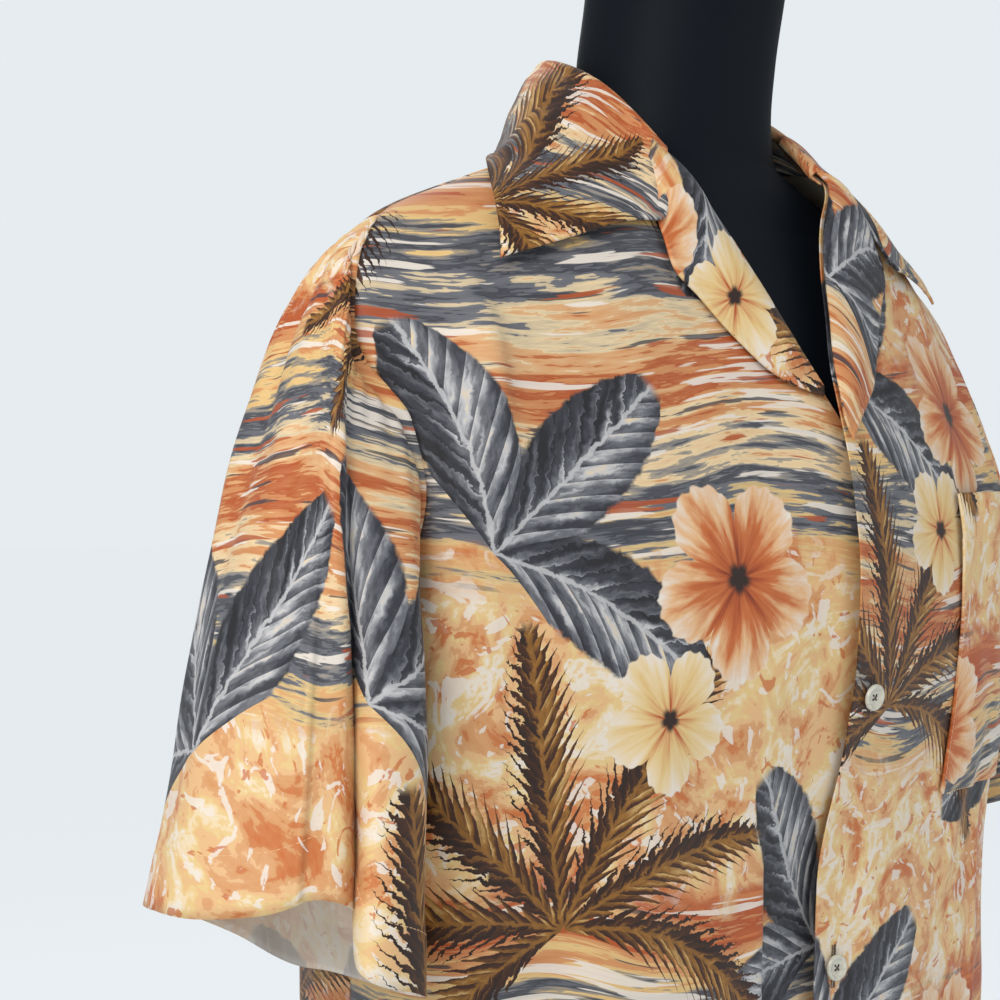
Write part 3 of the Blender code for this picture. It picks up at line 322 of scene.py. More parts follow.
# Level sections of the dress form, from the bottom up.
# Columns: z half_width front back middle_y squareness
FORM_SECTIONS = (
    (0.100, 0.1540, 0.0660, 0.0780, 0.000, 0.90),
    (0.104, 0.1580, 0.0690, 0.0810, 0.000, 0.90),
    (0.200, 0.1640, 0.0720, 0.0840, 0.000, 0.90),
    (0.300, 0.1600, 0.0700, 0.0800, 0.000, 0.90),
    (0.400, 0.1520, 0.0660, 0.0740, 0.000, 0.90),
    (0.500, 0.1580, 0.0710, 0.0780, 0.000, 0.90),
    (0.600, 0.1680, 0.0840, 0.0840, 0.000, 0.90),
    (0.700, 0.1740, 0.0940, 0.0860, 0.000, 0.90),
    (0.770, 0.1780, 0.0890, 0.0840, 0.000, 0.92),
    (0.800, 0.1810, 0.0810, 0.0780, 0.000, 0.95),
    (0.830, 0.1850, 0.0700, 0.0680, 0.000, 1.00),
    (0.850, 0.1870, 0.0620, 0.0600, 0.000, 1.00),
    (0.862, 0.1870, 0.0570, 0.0550, 0.000, 1.00),
    (0.870, 0.1660, 0.0530, 0.0520, 0.000, 1.00),
    (0.880, 0.1390, 0.0500, 0.0500, 0.000, 1.00),
    (0.890, 0.1120, 0.0480, 0.0490, 0.000, 1.00),
    (0.899, 0.0860, 0.0460, 0.0480, 0.001, 1.00),
    (0.905, 0.0660, 0.0460, 0.0480, 0.002, 1.00),
    (0.912, 0.0585, 0.0470, 0.0480, 0.002, 1.00),
    (0.930, 0.0530, 0.0490, 0.0490, 0.002, 1.00),
    (0.955, 0.0515, 0.0505, 0.0505, 0.000, 1.00),
    (0.990, 0.0505, 0.0515, 0.0515, -0.006, 1.00),
    (1.028, 0.0520, 0.0525, 0.0525, -0.012, 1.00),
    (1.034, 0.0490, 0.0495, 0.0495, -0.013, 1.00),
)


def fit(levels, values, at):
    """Read a smooth curve through the values that doesn't swing past them."""
    levels = np.asarray(levels, float)
    values = np.asarray(values, float)
    at = np.clip(np.asarray(at, float), levels[0], levels[-1])
    step = np.diff(levels)
    slope = np.diff(values) / step
    lean = np.empty(len(levels))
    lean[0], lean[-1] = slope[0], slope[-1]
    both = slope[:-1] * slope[1:]
    total = slope[:-1] + slope[1:]
    lean[1:-1] = np.where(both > 0, 2 * both / np.where(total == 0, 1, total), 0)
    i = np.clip(np.searchsorted(levels, at) - 1, 0, len(step) - 1)
    u = (at - levels[i]) / step[i]
    a = (1 + 2 * u) * (1 - u) ** 2 * values[i] + u * (1 - u) ** 2 * step[i] * lean[i]
    b = u * u * (3 - 2 * u) * values[i + 1] + u * u * (u - 1) * step[i] * lean[i + 1]
    return a + b


def columns(rows):
    return np.array(rows, float).T


def ease(low, high, value):
    """0 below low and 1 above high, with a soft start and end."""
    u = np.clip((np.asarray(value, float) - low) / (high - low), 0, 1)
    return u * u * (3 - 2 * u)


def unit(ways):
    """Directions of length one."""
    return ways / np.maximum(np.linalg.norm(ways, axis=-1, keepdims=True), 1e-12)


def along_path(path):
    """Distance along a line of points from its start."""
    return np.concatenate([[0], np.cumsum(np.linalg.norm(np.diff(path, axis=0), axis=1))])


def follow(rows, share):
    """Points along a curve through rows of places, by share of its length."""
    table = np.array(rows, float)
    length = along_path(table)
    at = np.asarray(share, float) * length[-1]
    return np.stack([fit(length, column, at) for column in table.T], axis=-1)


def raw_section(sections, across, z):
    """One level section of a panel, before its bends are softened."""
    table = columns(sections)
    read = [fit(table[0], table[k], z) for k in range(1, 9)]
    centre_y, mid_y, ridge_x, ridge_y, turn_x, turn_y, side_x, side_y = read
    q = np.maximum(across, 0) / ridge_x
    bow_y = 2 * mid_y - 0.5 * (centre_y + ridge_y)
    flat_y = (1 - q) ** 2 * centre_y + 2 * q * (1 - q) * bow_y + q * q * ridge_y
    p = (across - ridge_x) / (SIDE_ACROSS - ridge_x)
    w0, w1, w2 = (1 - p) ** 2, 2 * p * (1 - p), p * p
    round_x = w0 * ridge_x + w1 * turn_x + w2 * side_x
    round_y = w0 * ridge_y + w1 * turn_y + w2 * side_y
    flat = across <= ridge_x
    return np.where(flat, across, round_x), np.where(flat, flat_y, round_y)


def shoulder_z(x):
    return NECK_POINT_Z - SHOULDER_SLOPE * (np.abs(x) - NECK_HALF)


def folds_out(folds, across, z):
    out = np.zeros(np.broadcast(across, z).shape)
    for middle, height, half_height, half_width, most in folds:
        u = (across - middle) / half_width
        v = (z - height) / half_height
        out = out + most * np.exp(-u * u) * np.exp(-v * v)
    return out


def sheet_point(sections, folds, across, z, step=0.0):
    """A panel's middle surface, on the side where x is positive."""
    across, z = np.broadcast_arrays(np.asarray(across, float), np.asarray(z, float))
    near_side = np.clip((SIDE_ACROSS - across) / SIDE_CALM, 0, 1)
    x = np.zeros(across.shape)
    y = np.zeros(across.shape)
    for reach, weight in ((-2, 1), (-1, 3), (0, 4), (1, 3), (2, 1)):
        sx, sy = raw_section(sections, across + reach * SOFTEN * near_side, z)
        x += weight / 12 * sx
        y += weight / 12 * sy
    facing = np.sign(sections[0][1])
    spread = ease(NECK_HALF, NECK_HALF + 0.1, across)
    turn_height = SHOULDER_FRONT_ROUND + (SHOULDER_END_ROUND - SHOULDER_FRONT_ROUND) * spread
    rise = np.clip((shoulder_z(across) - z) / turn_height, 0, 1)
    y = y * np.sqrt(np.clip(1 - (1 - rise) ** 2, 0, 1))
    calm = ease(0.0, 0.5, rise) * near_side
    y = y + facing * folds_out(folds, across, z) * calm
    if step:
        back = ease(STEP_ACROSS + STEP_WIDTH, STEP_ACROSS, across)
        y = y + step * back * ease(STEP_TOP_Z, STEP_TOP_Z - 0.08, z)
    return np.stack([x, y, z], axis=-1)


def front_right_point(across, z):
    point = sheet_point(RIGHT_FRONT_SECTIONS, RIGHT_FRONT_FOLDS, across, z, STEP_DEPTH)
    return point * (-1, 1, 1)


def front_left_point(across, z):
    return sheet_point(LEFT_FRONT_SECTIONS, LEFT_FRONT_FOLDS, across, z)


def back_point(across, z):
    point = sheet_point(BACK_SECTIONS, BACK_FOLDS, np.abs(across), z)
    point[..., 0] = point[..., 0] * np.where(np.asarray(across) < 0, -1, 1)
    return point


def moved_out(surface, across, z, out):
    """Points off a panel's surface, away from the body."""
    tiny = 0.0015
    point = surface(across, z)
    along = surface(across + tiny, z) - surface(across - tiny, z)
    up = surface(across, z + tiny) - surface(across, z - tiny)
    normal = unit(np.cross(along, up))
    away = np.sum(normal * (point - AXIS_POINT) * (1, 1, 0), axis=-1, keepdims=True)
    return point + normal * np.sign(away) * np.asarray(out, float)[..., None]


def patch(top, bottom, left, right, s, t):
    """Fill four edges, each a row of (across, z) places, with a grid of places."""
    s, t = s[None, :, None], t[:, None, None]
    t_row, b_row = top[None], bottom[None]
    l_col, r_col = left[:, None], right[:, None]
    corners = (1 - s) * (1 - t) * top[0] + s * (1 - t) * top[-1]
    corners = corners + (1 - s) * t * bottom[0] + s * t * bottom[-1]
    return (1 - t) * t_row + t * b_row + (1 - s) * l_col + s * r_col - corners


def panel_places(neck, armhole, edge_across, count_s, count_t):
    """Places of a front's or half back's grid, from its middle edge to its side."""
    t = np.linspace(0, 1, count_t) ** ROW_CROWDING
    neck = np.array(neck, float)
    if tuple(neck[-1]) != (NECK_HALF, NECK_POINT_Z):
        neck = np.vstack([neck, (NECK_HALF, NECK_POINT_Z)])
    neck_count = int(round(count_s * NECK_SHARE))
    shoulder = np.array([(NECK_HALF, NECK_POINT_Z), armhole[0]])
    first = follow(neck, np.linspace(0, 1, neck_count))
    second = follow(shoulder, np.linspace(0, 1, count_s - neck_count + 1))[1:]
    top = np.vstack([first, second])
    over_shoulder = np.linspace(NECK_SHARE, 1, count_s - neck_count + 1)[1:]
    s = np.concatenate([np.linspace(0, NECK_SHARE, neck_count), over_shoulder])
    hem_across = edge_across + (SIDE_ACROSS - edge_across) * s
    bottom = np.stack([hem_across, np.full(count_s, HEM_Z)], axis=-1)
    edge_z = neck[0, 1] + (HEM_Z - neck[0, 1]) * t
    left = np.stack([np.full(count_t, edge_across), edge_z], axis=-1)
    share = np.clip(t / ARMHOLE_SHARE, 0, 1)
    right = follow(armhole, share)
    low = t > ARMHOLE_SHARE
    right[low, 0] = SIDE_ACROSS
    right[low, 1] = UNDERARM_Z + (HEM_Z - UNDERARM_Z) * (t[low] - ARMHOLE_SHARE) / (1 - ARMHOLE_SHARE)
    return patch(top, bottom, left, right, s, t)


def normals_of(grid, wrap=False):
    """Unit normals of a grid of points; wrap closes its second direction."""
    down = np.gradient(grid, axis=0)
    if wrap:
        around = (np.roll(grid, -1, axis=1) - np.roll(grid, 1, axis=1)) / 2
    else:
        around = np.gradient(grid, axis=1)
    return unit(np.cross(down, around))


def ring_fit(rows, turn):
    """Read a closed curve's columns at turns from 0 to 1, smoothly through its end."""
    table = np.array(rows, float)
    wide = np.vstack([table[-3:] - (1, 0, 0, 0), table, table[:3] + (1, 0, 0, 0)])
    turn = np.asarray(turn, float) % 1
    i = np.clip(np.searchsorted(wide[:, 0], turn, side="right") - 1, 1, len(wide) - 3)
    gap = wide[i + 1, 0] - wide[i, 0]
    u = ((turn - wide[i, 0]) / gap)[..., None]
    before = (wide[i + 1, 1:] - wide[i - 1, 1:]) / (wide[i + 1, 0] - wide[i - 1, 0])[..., None]
    after = (wide[i + 2, 1:] - wide[i, 1:]) / (wide[i + 2, 0] - wide[i, 0])[..., None]
    gap = gap[..., None]
    a = (1 + 2 * u) * (1 - u) ** 2 * wide[i, 1:] + u * (1 - u) ** 2 * gap * before
    b = u * u * (3 - 2 * u) * wide[i + 1, 1:] + u * u * (u - 1) * gap * after
    return a + b


def seam_frame(surface, armhole, share):
    """Points of an armhole seam and the way in which the panel leaves there."""
    tiny = 0.004
    place = follow(armhole, share)
    ahead = follow(armhole, np.clip(share + tiny, 0, 1))
    behind = follow(armhole, np.clip(share - tiny, 0, 1))
    along = unit(ahead - behind)
    off = np.stack([-along[:, 1], along[:, 0]], axis=1) * 0.001
    leave = surface(*(place + off).T) - surface(*(place - off).T)
    return surface(*place.T), unit(leave)


def sleeve_grid(side, count_turn, count_down):
    """Points of a sleeve: rows from the armhole seam to the hem, round the arm."""
    turn = np.arange(count_turn) / count_turn
    shares = columns(SEAM_SHARES)
    front = turn <= 0.5
    half_turn = np.where(front, turn, 1 - turn)
    front_share = fit(shares[0], shares[1], half_turn)
    back_share = fit(shares[0], shares[2], half_turn)
    armhole = RIGHT_FRONT_ARMHOLE if side < 0 else LEFT_FRONT_ARMHOLE
    surface = front_right_point if side < 0 else front_left_point
    mirror = np.array([side, 1, 1])
    on_front = seam_frame(surface, armhole, front_share)
    on_back = seam_frame(lambda a, z: back_point(a, z) * mirror, BACK_ARMHOLE, back_share)
    seam, leave = (np.where(front[:, None], on_front[k], on_back[k]) * mirror for k in (0, 1))
    seam[0, 0] = max(seam[0, 0], on_back[0][0, 0] * side)
    hem = ring_fit(RIGHT_SLEEVE_HEM, turn)
    pull = ring_fit_calm(SLEEVE_PULLS, turn)
    out, hem_pull = pull[:, :3], pull[:, 3]
    if side > 0:
        hem = hem + LEFT_SLEEVE_SHIFT
        out = out * LEFT_PULL_SCALE
    first_pull = out + leave * SLEEVE_LEAVE
    way = unit(first_pull)
    along = np.clip(np.sum(way * leave, axis=1, keepdims=True), -0.6, 1)
    corner = WALL / 2 * np.sqrt((1 - along) / (1 + along))
    start = seam + leave * (SLEEVE_GAP + corner) + way * corner
    lean = (hem - start) * HEM_LEAN
    end_pull = np.stack([0 * hem_pull, 0 * hem_pull, hem_pull], axis=1) - lean
    p0, p1, p2, p3 = start, start + first_pull, hem + end_pull, hem
    t = (np.linspace(0, 1, count_down) ** ROW_CROWDING)[:, None, None]
    grid = (1 - t) ** 3 * p0 + 3 * t * (1 - t) ** 2 * p1 + 3 * t * t * (1 - t) * p2 + t**3 * p3
    return grid * mirror


def ring_fit_calm(table, turn):
    """Read a closed curve's columns at turns from 0 to 1, without a swing past its rows."""
    table = np.array(table, float)
    one = np.zeros(table.shape[1])
    one[0] = 1
    wide = np.vstack([table[-3:] - one, table, table[:3] + one])
    turn = np.asarray(turn, float) % 1
    return np.stack([fit(wide[:, 0], wide[:, k], turn) for k in range(1, wide.shape[1])], axis=-1)


def lapel_grid(side, count_share, count_out):
    """Points of a lapel: rows along the roll, from the roll out to its edge."""
    rows = columns(RIGHT_LAPEL if side < 0 else LEFT_LAPEL)
    roll = columns(RIGHT_ROLL if side < 0 else LEFT_ROLL)
    surface = front_right_point if side < 0 else front_left_point
    share = np.linspace(0, LAPEL_END, count_share)
    w = np.linspace(0.0, 1, count_out)[None, :]
    roll_z = fit(rows[0], rows[1], share)[:, None]
    roll_across = fit(roll[1], roll[0], roll_z)
    edge_across = fit(rows[0], rows[2], share)[:, None]
    edge_z = fit(rows[0], rows[3], share)[:, None]
    across = roll_across + (edge_across - roll_across) * w
    z = roll_z + (edge_z - roll_z) * w
    swell = LAPEL_SWELL * np.sin(np.pi * w**0.7) * ease(0, 0.25, share)[:, None]
    return moved_out(surface, across, z, WALL + LAY_GAP + swell)


def pocket_grid(count_across, count_down):
    """Points of the patch pocket, from its mouth down and from its inner edge out."""
    s = np.linspace(0, 1, count_across)[None, :]
    t = np.linspace(0, 1, count_down)[:, None]
    across = POCKET_IN + (POCKET_OUT - POCKET_IN) * s + 0 * t
    z = POCKET_TOP_Z + (POCKET_BOTTOM_Z - POCKET_TOP_Z) * t + 0 * s
    gape = POCKET_GAPE * np.sin(np.pi * s**0.7) * ease(0.40, 0.0, t)
    return moved_out(front_left_point, across, z, WALL + LAY_GAP + gape)


def collar_grid(clear, count_share, count_stand, count_fall):
    """Points of the collar, from the right front end round the neck to the left one.

    Each column climbs the stand from the neck seam, turns over the roll and comes
    down the fall. clear is called with the fall's points and keeps them off the panels.
    """
    share = np.linspace(0, 1, count_share)
    half = np.where(share <= 0.5, share, 1 - share)
    side = np.where(share <= 0.5, -1.0, 1.0)[:, None] * (1.0, 0, 0) + (0, 1.0, 1.0)

    def read(rows):
        table = columns(rows)
        return np.stack([fit(table[0], table[k], half) for k in (1, 2, 3)], axis=-1) * side

    roll, edge = read(COLLAR_ROLL), read(COLLAR_EDGE)
    on_left = (side[:, 0] > 0)[:, None]
    left_bow = 1 + (LEFT_BOW_SCALE - 1) * (1 - ease(0.30, 0.48, half))[:, None]
    roll = roll + on_left * (1 - ease(0, 0.20, half))[:, None] * LEFT_ROLL_SHIFT
    edge = edge + on_left * (1 - ease(0, 0.34, half))[:, None] * LEFT_EDGE_SHIFT
    seam = neck_seam(half, side)
    out = unit(roll * (1, 1, 0))
    r = COLLAR_ROLL_RADIUS
    inner = roll - out * r - (0, 0, 1.1 * r)
    outer = roll + out * r - (0, 0, 0.9 * r)
    stand = np.linspace(0, 1, count_stand)[:, None, None]
    stand = seam + (inner - seam) * stand
    turn = np.radians(COLLAR_BEND_TURNS)[:, None, None]
    bend = roll - (0, 0, r) - out * r * np.cos(turn) + np.array([0, 0, r]) * np.sin(turn)
    w = np.linspace(0, 1, count_fall)[:, None, None]
    fall = outer + (edge - outer) * w
    bow = COLLAR_BOW[0] + COLLAR_BOW[1] * ease(0.1, 0.25, half)[:, None]
    bow = np.sin(np.pi * w) * bow * np.where(on_left, left_bow, 1)
    fall = fall + bow * (out * 0.5 + (0, 0, 0.8))
    fall = clear(fall + gorge_shift(fall, w, half, side), COLLAR_CLEAR)
    return np.concatenate([stand, bend, fall], axis=0)


def neck_seam(half, side):
    """Points on the neckline edges of the fronts and the back, where the collar starts."""
    front_share = half / COLLAR_AT_SHOULDER
    back_share = (half - COLLAR_AT_SHOULDER) / (0.5 - COLLAR_AT_SHOULDER)
    neck_point = (NECK_HALF, NECK_POINT_Z)
    right = follow((RIGHT_ROLL[-1], neck_point), np.clip(front_share, 0, 1))
    left = follow((LEFT_ROLL[-1], neck_point), np.clip(front_share, 0, 1))
    behind = follow(BACK_NECKLINE[::-1], np.clip(back_share, 0, 1))
    on_right = front_right_point(right[:, 0], right[:, 1])
    on_left = front_left_point(left[:, 0], left[:, 1])
    on_back = back_point(behind[:, 0] * side[:, 0], behind[:, 1])
    in_front = np.where((side[:, 0] < 0)[:, None], on_right, on_left)
    seam = np.where((front_share <= 1)[:, None], in_front, on_back)
    return seam * NECK_INWARDS


def gorge_shift(fall, w, half, side):
    """Bend the front ends of the fall down to the corner where the lapel's seam ends."""
    k = int(round(GORGE_SHARE * (len(fall) - 1)))
    right = np.array(RIGHT_GORGE_END) * side[0] - fall[k, 0]
    left = np.array(LEFT_GORGE_END) * side[-1] - fall[k, -1]
    up = np.where(w < GORGE_SHARE, w / GORGE_SHARE, (1 - w) / (1 - GORGE_SHARE))[:, 0]
    fade = (1 - ease(0.0, GORGE_FADE, half))[None, :, None]
    shifts = np.where((side[:, 0] < 0)[:, None], right, left)
    return up[:, None] * fade * shifts[None]


def form_grid(count_turn, rows):
    """Points of the dress form's rings through rows of its sections, from the bottom up."""
    angle = np.arange(count_turn) / count_turn * 2 * np.pi
    rings = []
    for z, half_width, front, back, middle_y, square in rows:
        c, s = np.cos(angle), np.sin(angle)
        x = half_width * np.sign(s) * np.abs(s) ** square
        depth = np.where(c > 0, front, back)
        y = middle_y - depth * np.sign(c) * np.abs(c) ** square
        rings.append(np.stack([x, y, np.full(count_turn, z)], axis=-1))
    return np.array(rings)


# Print: colours of the dyes, as 0 to 255 values of red, green and blue.
DYES = {
    "white": (250, 247, 243),
    "cream": (250, 231, 190),
    "straw": (243, 214, 150),
    "peach": (244, 200, 152),
    "tan": (226, 166, 112),
    "orange": (214, 122, 64),
    "rust": (188, 88, 38),
    "deep_rust": (140, 60, 26),
    "mist": (208, 214, 224),
    "slate": (120, 126, 138),
    "dark_slate": (62, 66, 78),
    "ink": (34, 34, 42),
    "brown": (76, 42, 20),
    "dark_brown": (46, 25, 14),
    "gold": (160, 112, 44),
}
WARMTH = np.array([1.0, 0.92, 0.84])  # the cloth's own tone over all the dyes
BAND_PERIOD = 0.330  # height of cloth after which the bands of colour come again
# Bands of colour up the cloth. Columns: share of the period, dye.
STREAK_BANDS = (
    (0.00, "cream"),
    (0.06, "straw"),
    (0.11, "tan"),
    (0.16, "straw"),
    (0.19, "slate"),
    (0.22, "dark_slate"),
    (0.25, "slate"),
    (0.28, "cream"),
    (0.32, "tan"),
    (0.37, "rust"),
    (0.41, "tan"),
    (0.45, "cream"),
    (0.49, "slate"),
    (0.52, "dark_slate"),
    (0.55, "slate"),
    (0.58, "straw"),
    (0.62, "tan"),
    (0.68, "rust"),
    (0.74, "orange"),
    (0.80, "tan"),
    (0.88, "peach"),
    (0.94, "straw"),
)
DYE_STRENGTH = 0.79
STROKE_EDGE = 0.6  # how far the strokes end in a clear edge
MOTIF_WIDTH = 0.330  # the leaves and flowers come again after this width
MOTIF_HEIGHT = 0.340
# Shades of each motif, from deep to light. Columns: depth of the stroke, dye.
SLATE_SHADES = ((0.05, "ink"), (0.28, "dark_slate"), (0.48, "slate"), (0.66, "mist"), (0.84, "cream"))
BROWN_SHADES = ((0.20, "dark_brown"), (0.42, "brown"), (0.60, "gold"), (0.88, "straw"))
WARM_SHADES = ((0.0, "deep_rust"), (0.20, "rust"), (0.42, "orange"), (0.62, "peach"), (0.85, "white"))
PALE_SHADES = ((0.0, "rust"), (0.18, "tan"), (0.40, "straw"), (0.62, "cream"), (0.85, "white"))
# Curled strokes of colour in the calm bands. Columns: depth of the stroke, dye.
CURL_DYES = (
    (0.30, "orange"),
    (0.38, "tan"),
    (0.46, "peach"),
    (0.52, "straw"),
    (0.57, "cream"),
    (0.62, "white"),
    (0.66, "cream"),
    (0.72, "peach"),
)
# Strokes laid over the bands and over the calm parts. Columns: depth in the noise, dye, start.
BAND_STROKES = ((11.0, "white", 0.60), (13.0, "dark_slate", 0.635), (17.0, "rust", 0.62))
CALM_STROKES = ((19.0, "white", 0.585), (23.0, "orange", 0.63))
CALM_MIDDLE = 0.93  # share of the period at the middle of the calm part
# Where the motifs stand in their repeat: u and v, then a spray's turn or a flower's size.
SLATE_SPRAYS = ((-0.020, 0.560, 35), (-0.160, 0.745, -50))
SLATE_FOOT = 0.050  # from a spray's foot to its middle
BROWN_SPRAY = (-0.165, 0.620, 8)
BROWN_FOOT = 0.065
FLOWERS = ((-0.075, 0.700, 0.047, WARM_SHADES), (-0.115, 0.640, 0.033, PALE_SHADES))
# Forms of a spray's leaves. Columns: reach width pitch cut spread most
SLATE_LEAVES = (0.128, 0.0235, 0.0110, 0.03, 0.95, 1)
BROWN_LEAVES = (0.150, 0.0190, 0.0066, 1.8, 0.56, 3)
PETALS = 5
FRILLS = 31.0
FRILL_DEPTH = 0.020
WEAVE_PITCH = 0.0005  # metres of cloth to a repeat of the weave


def dye(name, strength=1.0):
    """A dye as the linear colour that Blender's sockets take."""
    share = np.array(DYES[name]) / 255
    linear = np.where(share <= 0.04045, share / 12.92, ((share + 0.055) / 1.055) ** 2.4)
    return (*(linear * strength * WARMTH), 1.0)


class Value:
    """A number or colour in a material's node tree; arithmetic on it adds Math nodes."""

    def __init__(self, tree, socket):
        self.tree = tree
        self.socket = socket

    def math(self, operation, *others):
        made = self.tree.nodes.new("ShaderNodeMath")
        made.operation = operation
        for slot, value in zip(made.inputs, (self, *others)):
            plug(self.tree, slot, value)
        return Value(self.tree, made.outputs[0])

    def __add__(self, other):
        return self.math("ADD", other)

    def __sub__(self, other):
        return self.math("SUBTRACT", other)

    def __rsub__(self, other):
        return self.math("MULTIPLY_ADD", -1.0, other)

    def __mul__(self, other):
        return self.math("MULTIPLY", other)

    def __truediv__(self, other):
        return self.math("DIVIDE", other)

    def __pow__(self, other):
        return self.math("POWER", other)

    __radd__ = __add__
    __rmul__ = __mul__


def plug(tree, slot, value):
    if isinstance(value, Value):
        tree.links.new(value.socket, slot)
    else:
        slot.default_value = value


def coordinates(tree, kind):
    """Coordinates to paint by: "UV" in metres of flat cloth, or "Object" in metres."""
    place = tree.nodes.new("ShaderNodeUVMap" if kind == "UV" else "ShaderNodeTexCoord")
    if kind == "UV":
        place.uv_map = "cloth"
    apart = tree.nodes.new("ShaderNodeSeparateXYZ")
    tree.links.new(place.outputs[kind], apart.inputs[0])
    return [Value(tree, socket) for socket in apart.outputs]


def length(x, y):
    return (x * x + y * y).math("SQRT")


def smooth(low, high, value):
    """0 below low and 1 above high, softly."""
    made = value.tree.nodes.new("ShaderNodeMapRange")
    made.interpolation_type = "SMOOTHSTEP"
    for name, number in (("Value", value), ("From Min", low), ("From Max", high)):
        plug(value.tree, made.inputs[name], number)
    return Value(value.tree, made.outputs["Result"])


def noise(x, y, scale=1.0, detail=3.0, rough=0.5, twist=0.0, depth=0.0):
    """Smooth noise round 0.5 over the plane x, y; depth picks another one."""
    tree = x.tree
    place = tree.nodes.new("ShaderNodeCombineXYZ")
    for slot, value in zip(place.inputs, (x, y, depth)):
        plug(tree, slot, value)
    made = tree.nodes.new("ShaderNodeTexNoise")
    tree.links.new(place.outputs[0], made.inputs["Vector"])
    made.inputs["Scale"].default_value = scale
    made.inputs["Detail"].default_value = detail
    made.inputs["Roughness"].default_value = rough
    made.inputs["Distortion"].default_value = twist
    return Value(tree, made.outputs[0])


def mix(share, first, second):
    """Colours between first and second."""
    made = share.tree.nodes.new("ShaderNodeMix")
    made.data_type = "RGBA"
    for slot, value in ((0, share), (6, first), (7, second)):
        plug(share.tree, made.inputs[slot], value)
    return Value(share.tree, made.outputs[2])


def ramp(value, stops, strength=1.0, interpolation="LINEAR"):
    """A colour read from rows of place and dye."""
    made = value.tree.nodes.new("ShaderNodeValToRGB")
    made.color_ramp.interpolation = interpolation
    marks = made.color_ramp.elements
    while len(marks) > 1:
        marks.remove(marks[-1])
    marks[0].position, marks[0].color = stops[0][0], dye(stops[0][1], strength)
    for place, name in stops[1:]:
        marks.new(place).color = dye(name, strength)
    plug(value.tree, made.inputs[0], value)
    return Value(value.tree, made.outputs[0])


def brushed(value, stops, strength):
    """Dyes that partly run into each other and partly end at the edge of a stroke."""
    soft = ramp(value, stops, strength)
    hard = ramp(value, stops, strength, "CONSTANT")
    return mix(value * 0.0 + STROKE_EDGE, soft, hard)


def cell(u, v, middle_u, middle_v):
    """Place round the middle of a motif; each second column is half a repeat higher."""
    across = (u - middle_u) / MOTIF_WIDTH + 0.5
    x = (across.math("FRACT") - 0.5) * MOTIF_WIDTH
    lift = (across.math("FLOOR") * 0.5).math("FRACT")
    y = (((v - middle_v) / MOTIF_HEIGHT + lift + 0.5).math("FRACT") - 0.5) * MOTIF_HEIGHT
    return x, y


def spin(x, y, degrees):
    c, s = float(np.cos(np.radians(degrees))), float(np.sin(np.radians(degrees)))
    return x * c + y * s, y * c - x * s


def leaf_spray(x, y, rough, reach, width, pitch, cut, spread, most):
    """Leaves that fan out from one foot, feathered by cut: where they are, shade and rib."""
    far = length(x, y)
    turn = x.math("ARCTAN2", y) / (1.0 + far * 2.6)
    number = (turn / spread + 0.5).math("FLOOR")
    off = (turn - number * spread).math("SINE") * far * 1.15 + (rough - 0.5) * 0.005
    uneven = (number * 2.4).math("SINE") * 0.13 + 0.87
    share = far / (uneven * reach)
    half = (share * (1.04 - share)).math("MAXIMUM", 0.0) ** 0.68 * (2.56 * width)
    half = half.math("MAXIMUM", 0.0005)
    side = off.math("ABSOLUTE")
    along = far - side * 1.6
    beat = (along / pitch + (rough - 0.5) * 0.7).math("FRACT")
    tooth = ((beat - 0.5) * 2.0).math("ABSOLUTE")
    edge = side / half
    inside = smooth(0.0, 0.10, 1.0 - edge * (tooth * cut + 1.0))
    inside = inside * smooth(most + 0.6, most + 0.4, number.math("ABSOLUTE"))
    inside = inside * smooth(1.02, 0.97, share)
    brush = noise(along * 95.0, off * 55.0, 1.0, 3.0, 0.6, depth=2.0)
    shade = brush * 1.25 + beat * 0.30 + smooth(-0.3, 0.3, off / half) * 0.22 - edge * 0.25 - 0.42
    return inside, shade, smooth(0.0013, 0.0006, side)


def blossom(x, y, reach):
    """A flower with notched round petals: where it is, the shade out, and its eye."""
    turn = x.math("ARCTAN2", y)
    far = length(x, y)
    streak = noise(turn * 4.0, far * 26.0, 1.0, 4.0, 0.6)
    part = (turn * (PETALS / (2 * np.pi))).math("FRACT") - 0.5
    lobe = (part * np.pi).math("COSINE").math("MAXIMUM", 0.0) ** 0.45
    frill = (turn * FRILLS + streak * 9.0).math("SINE") * FRILL_DEPTH
    share = far / ((lobe * 0.50 + 0.50 + frill) * reach)
    fold = smooth(0.38, 0.5, part.math("ABSOLUTE"))
    shade = share * 0.62 + (streak - 0.5) * 1.15 - fold * 0.30 + 0.12
    return smooth(1.0, 0.97, share), shade, smooth(0.20, 0.10, share)


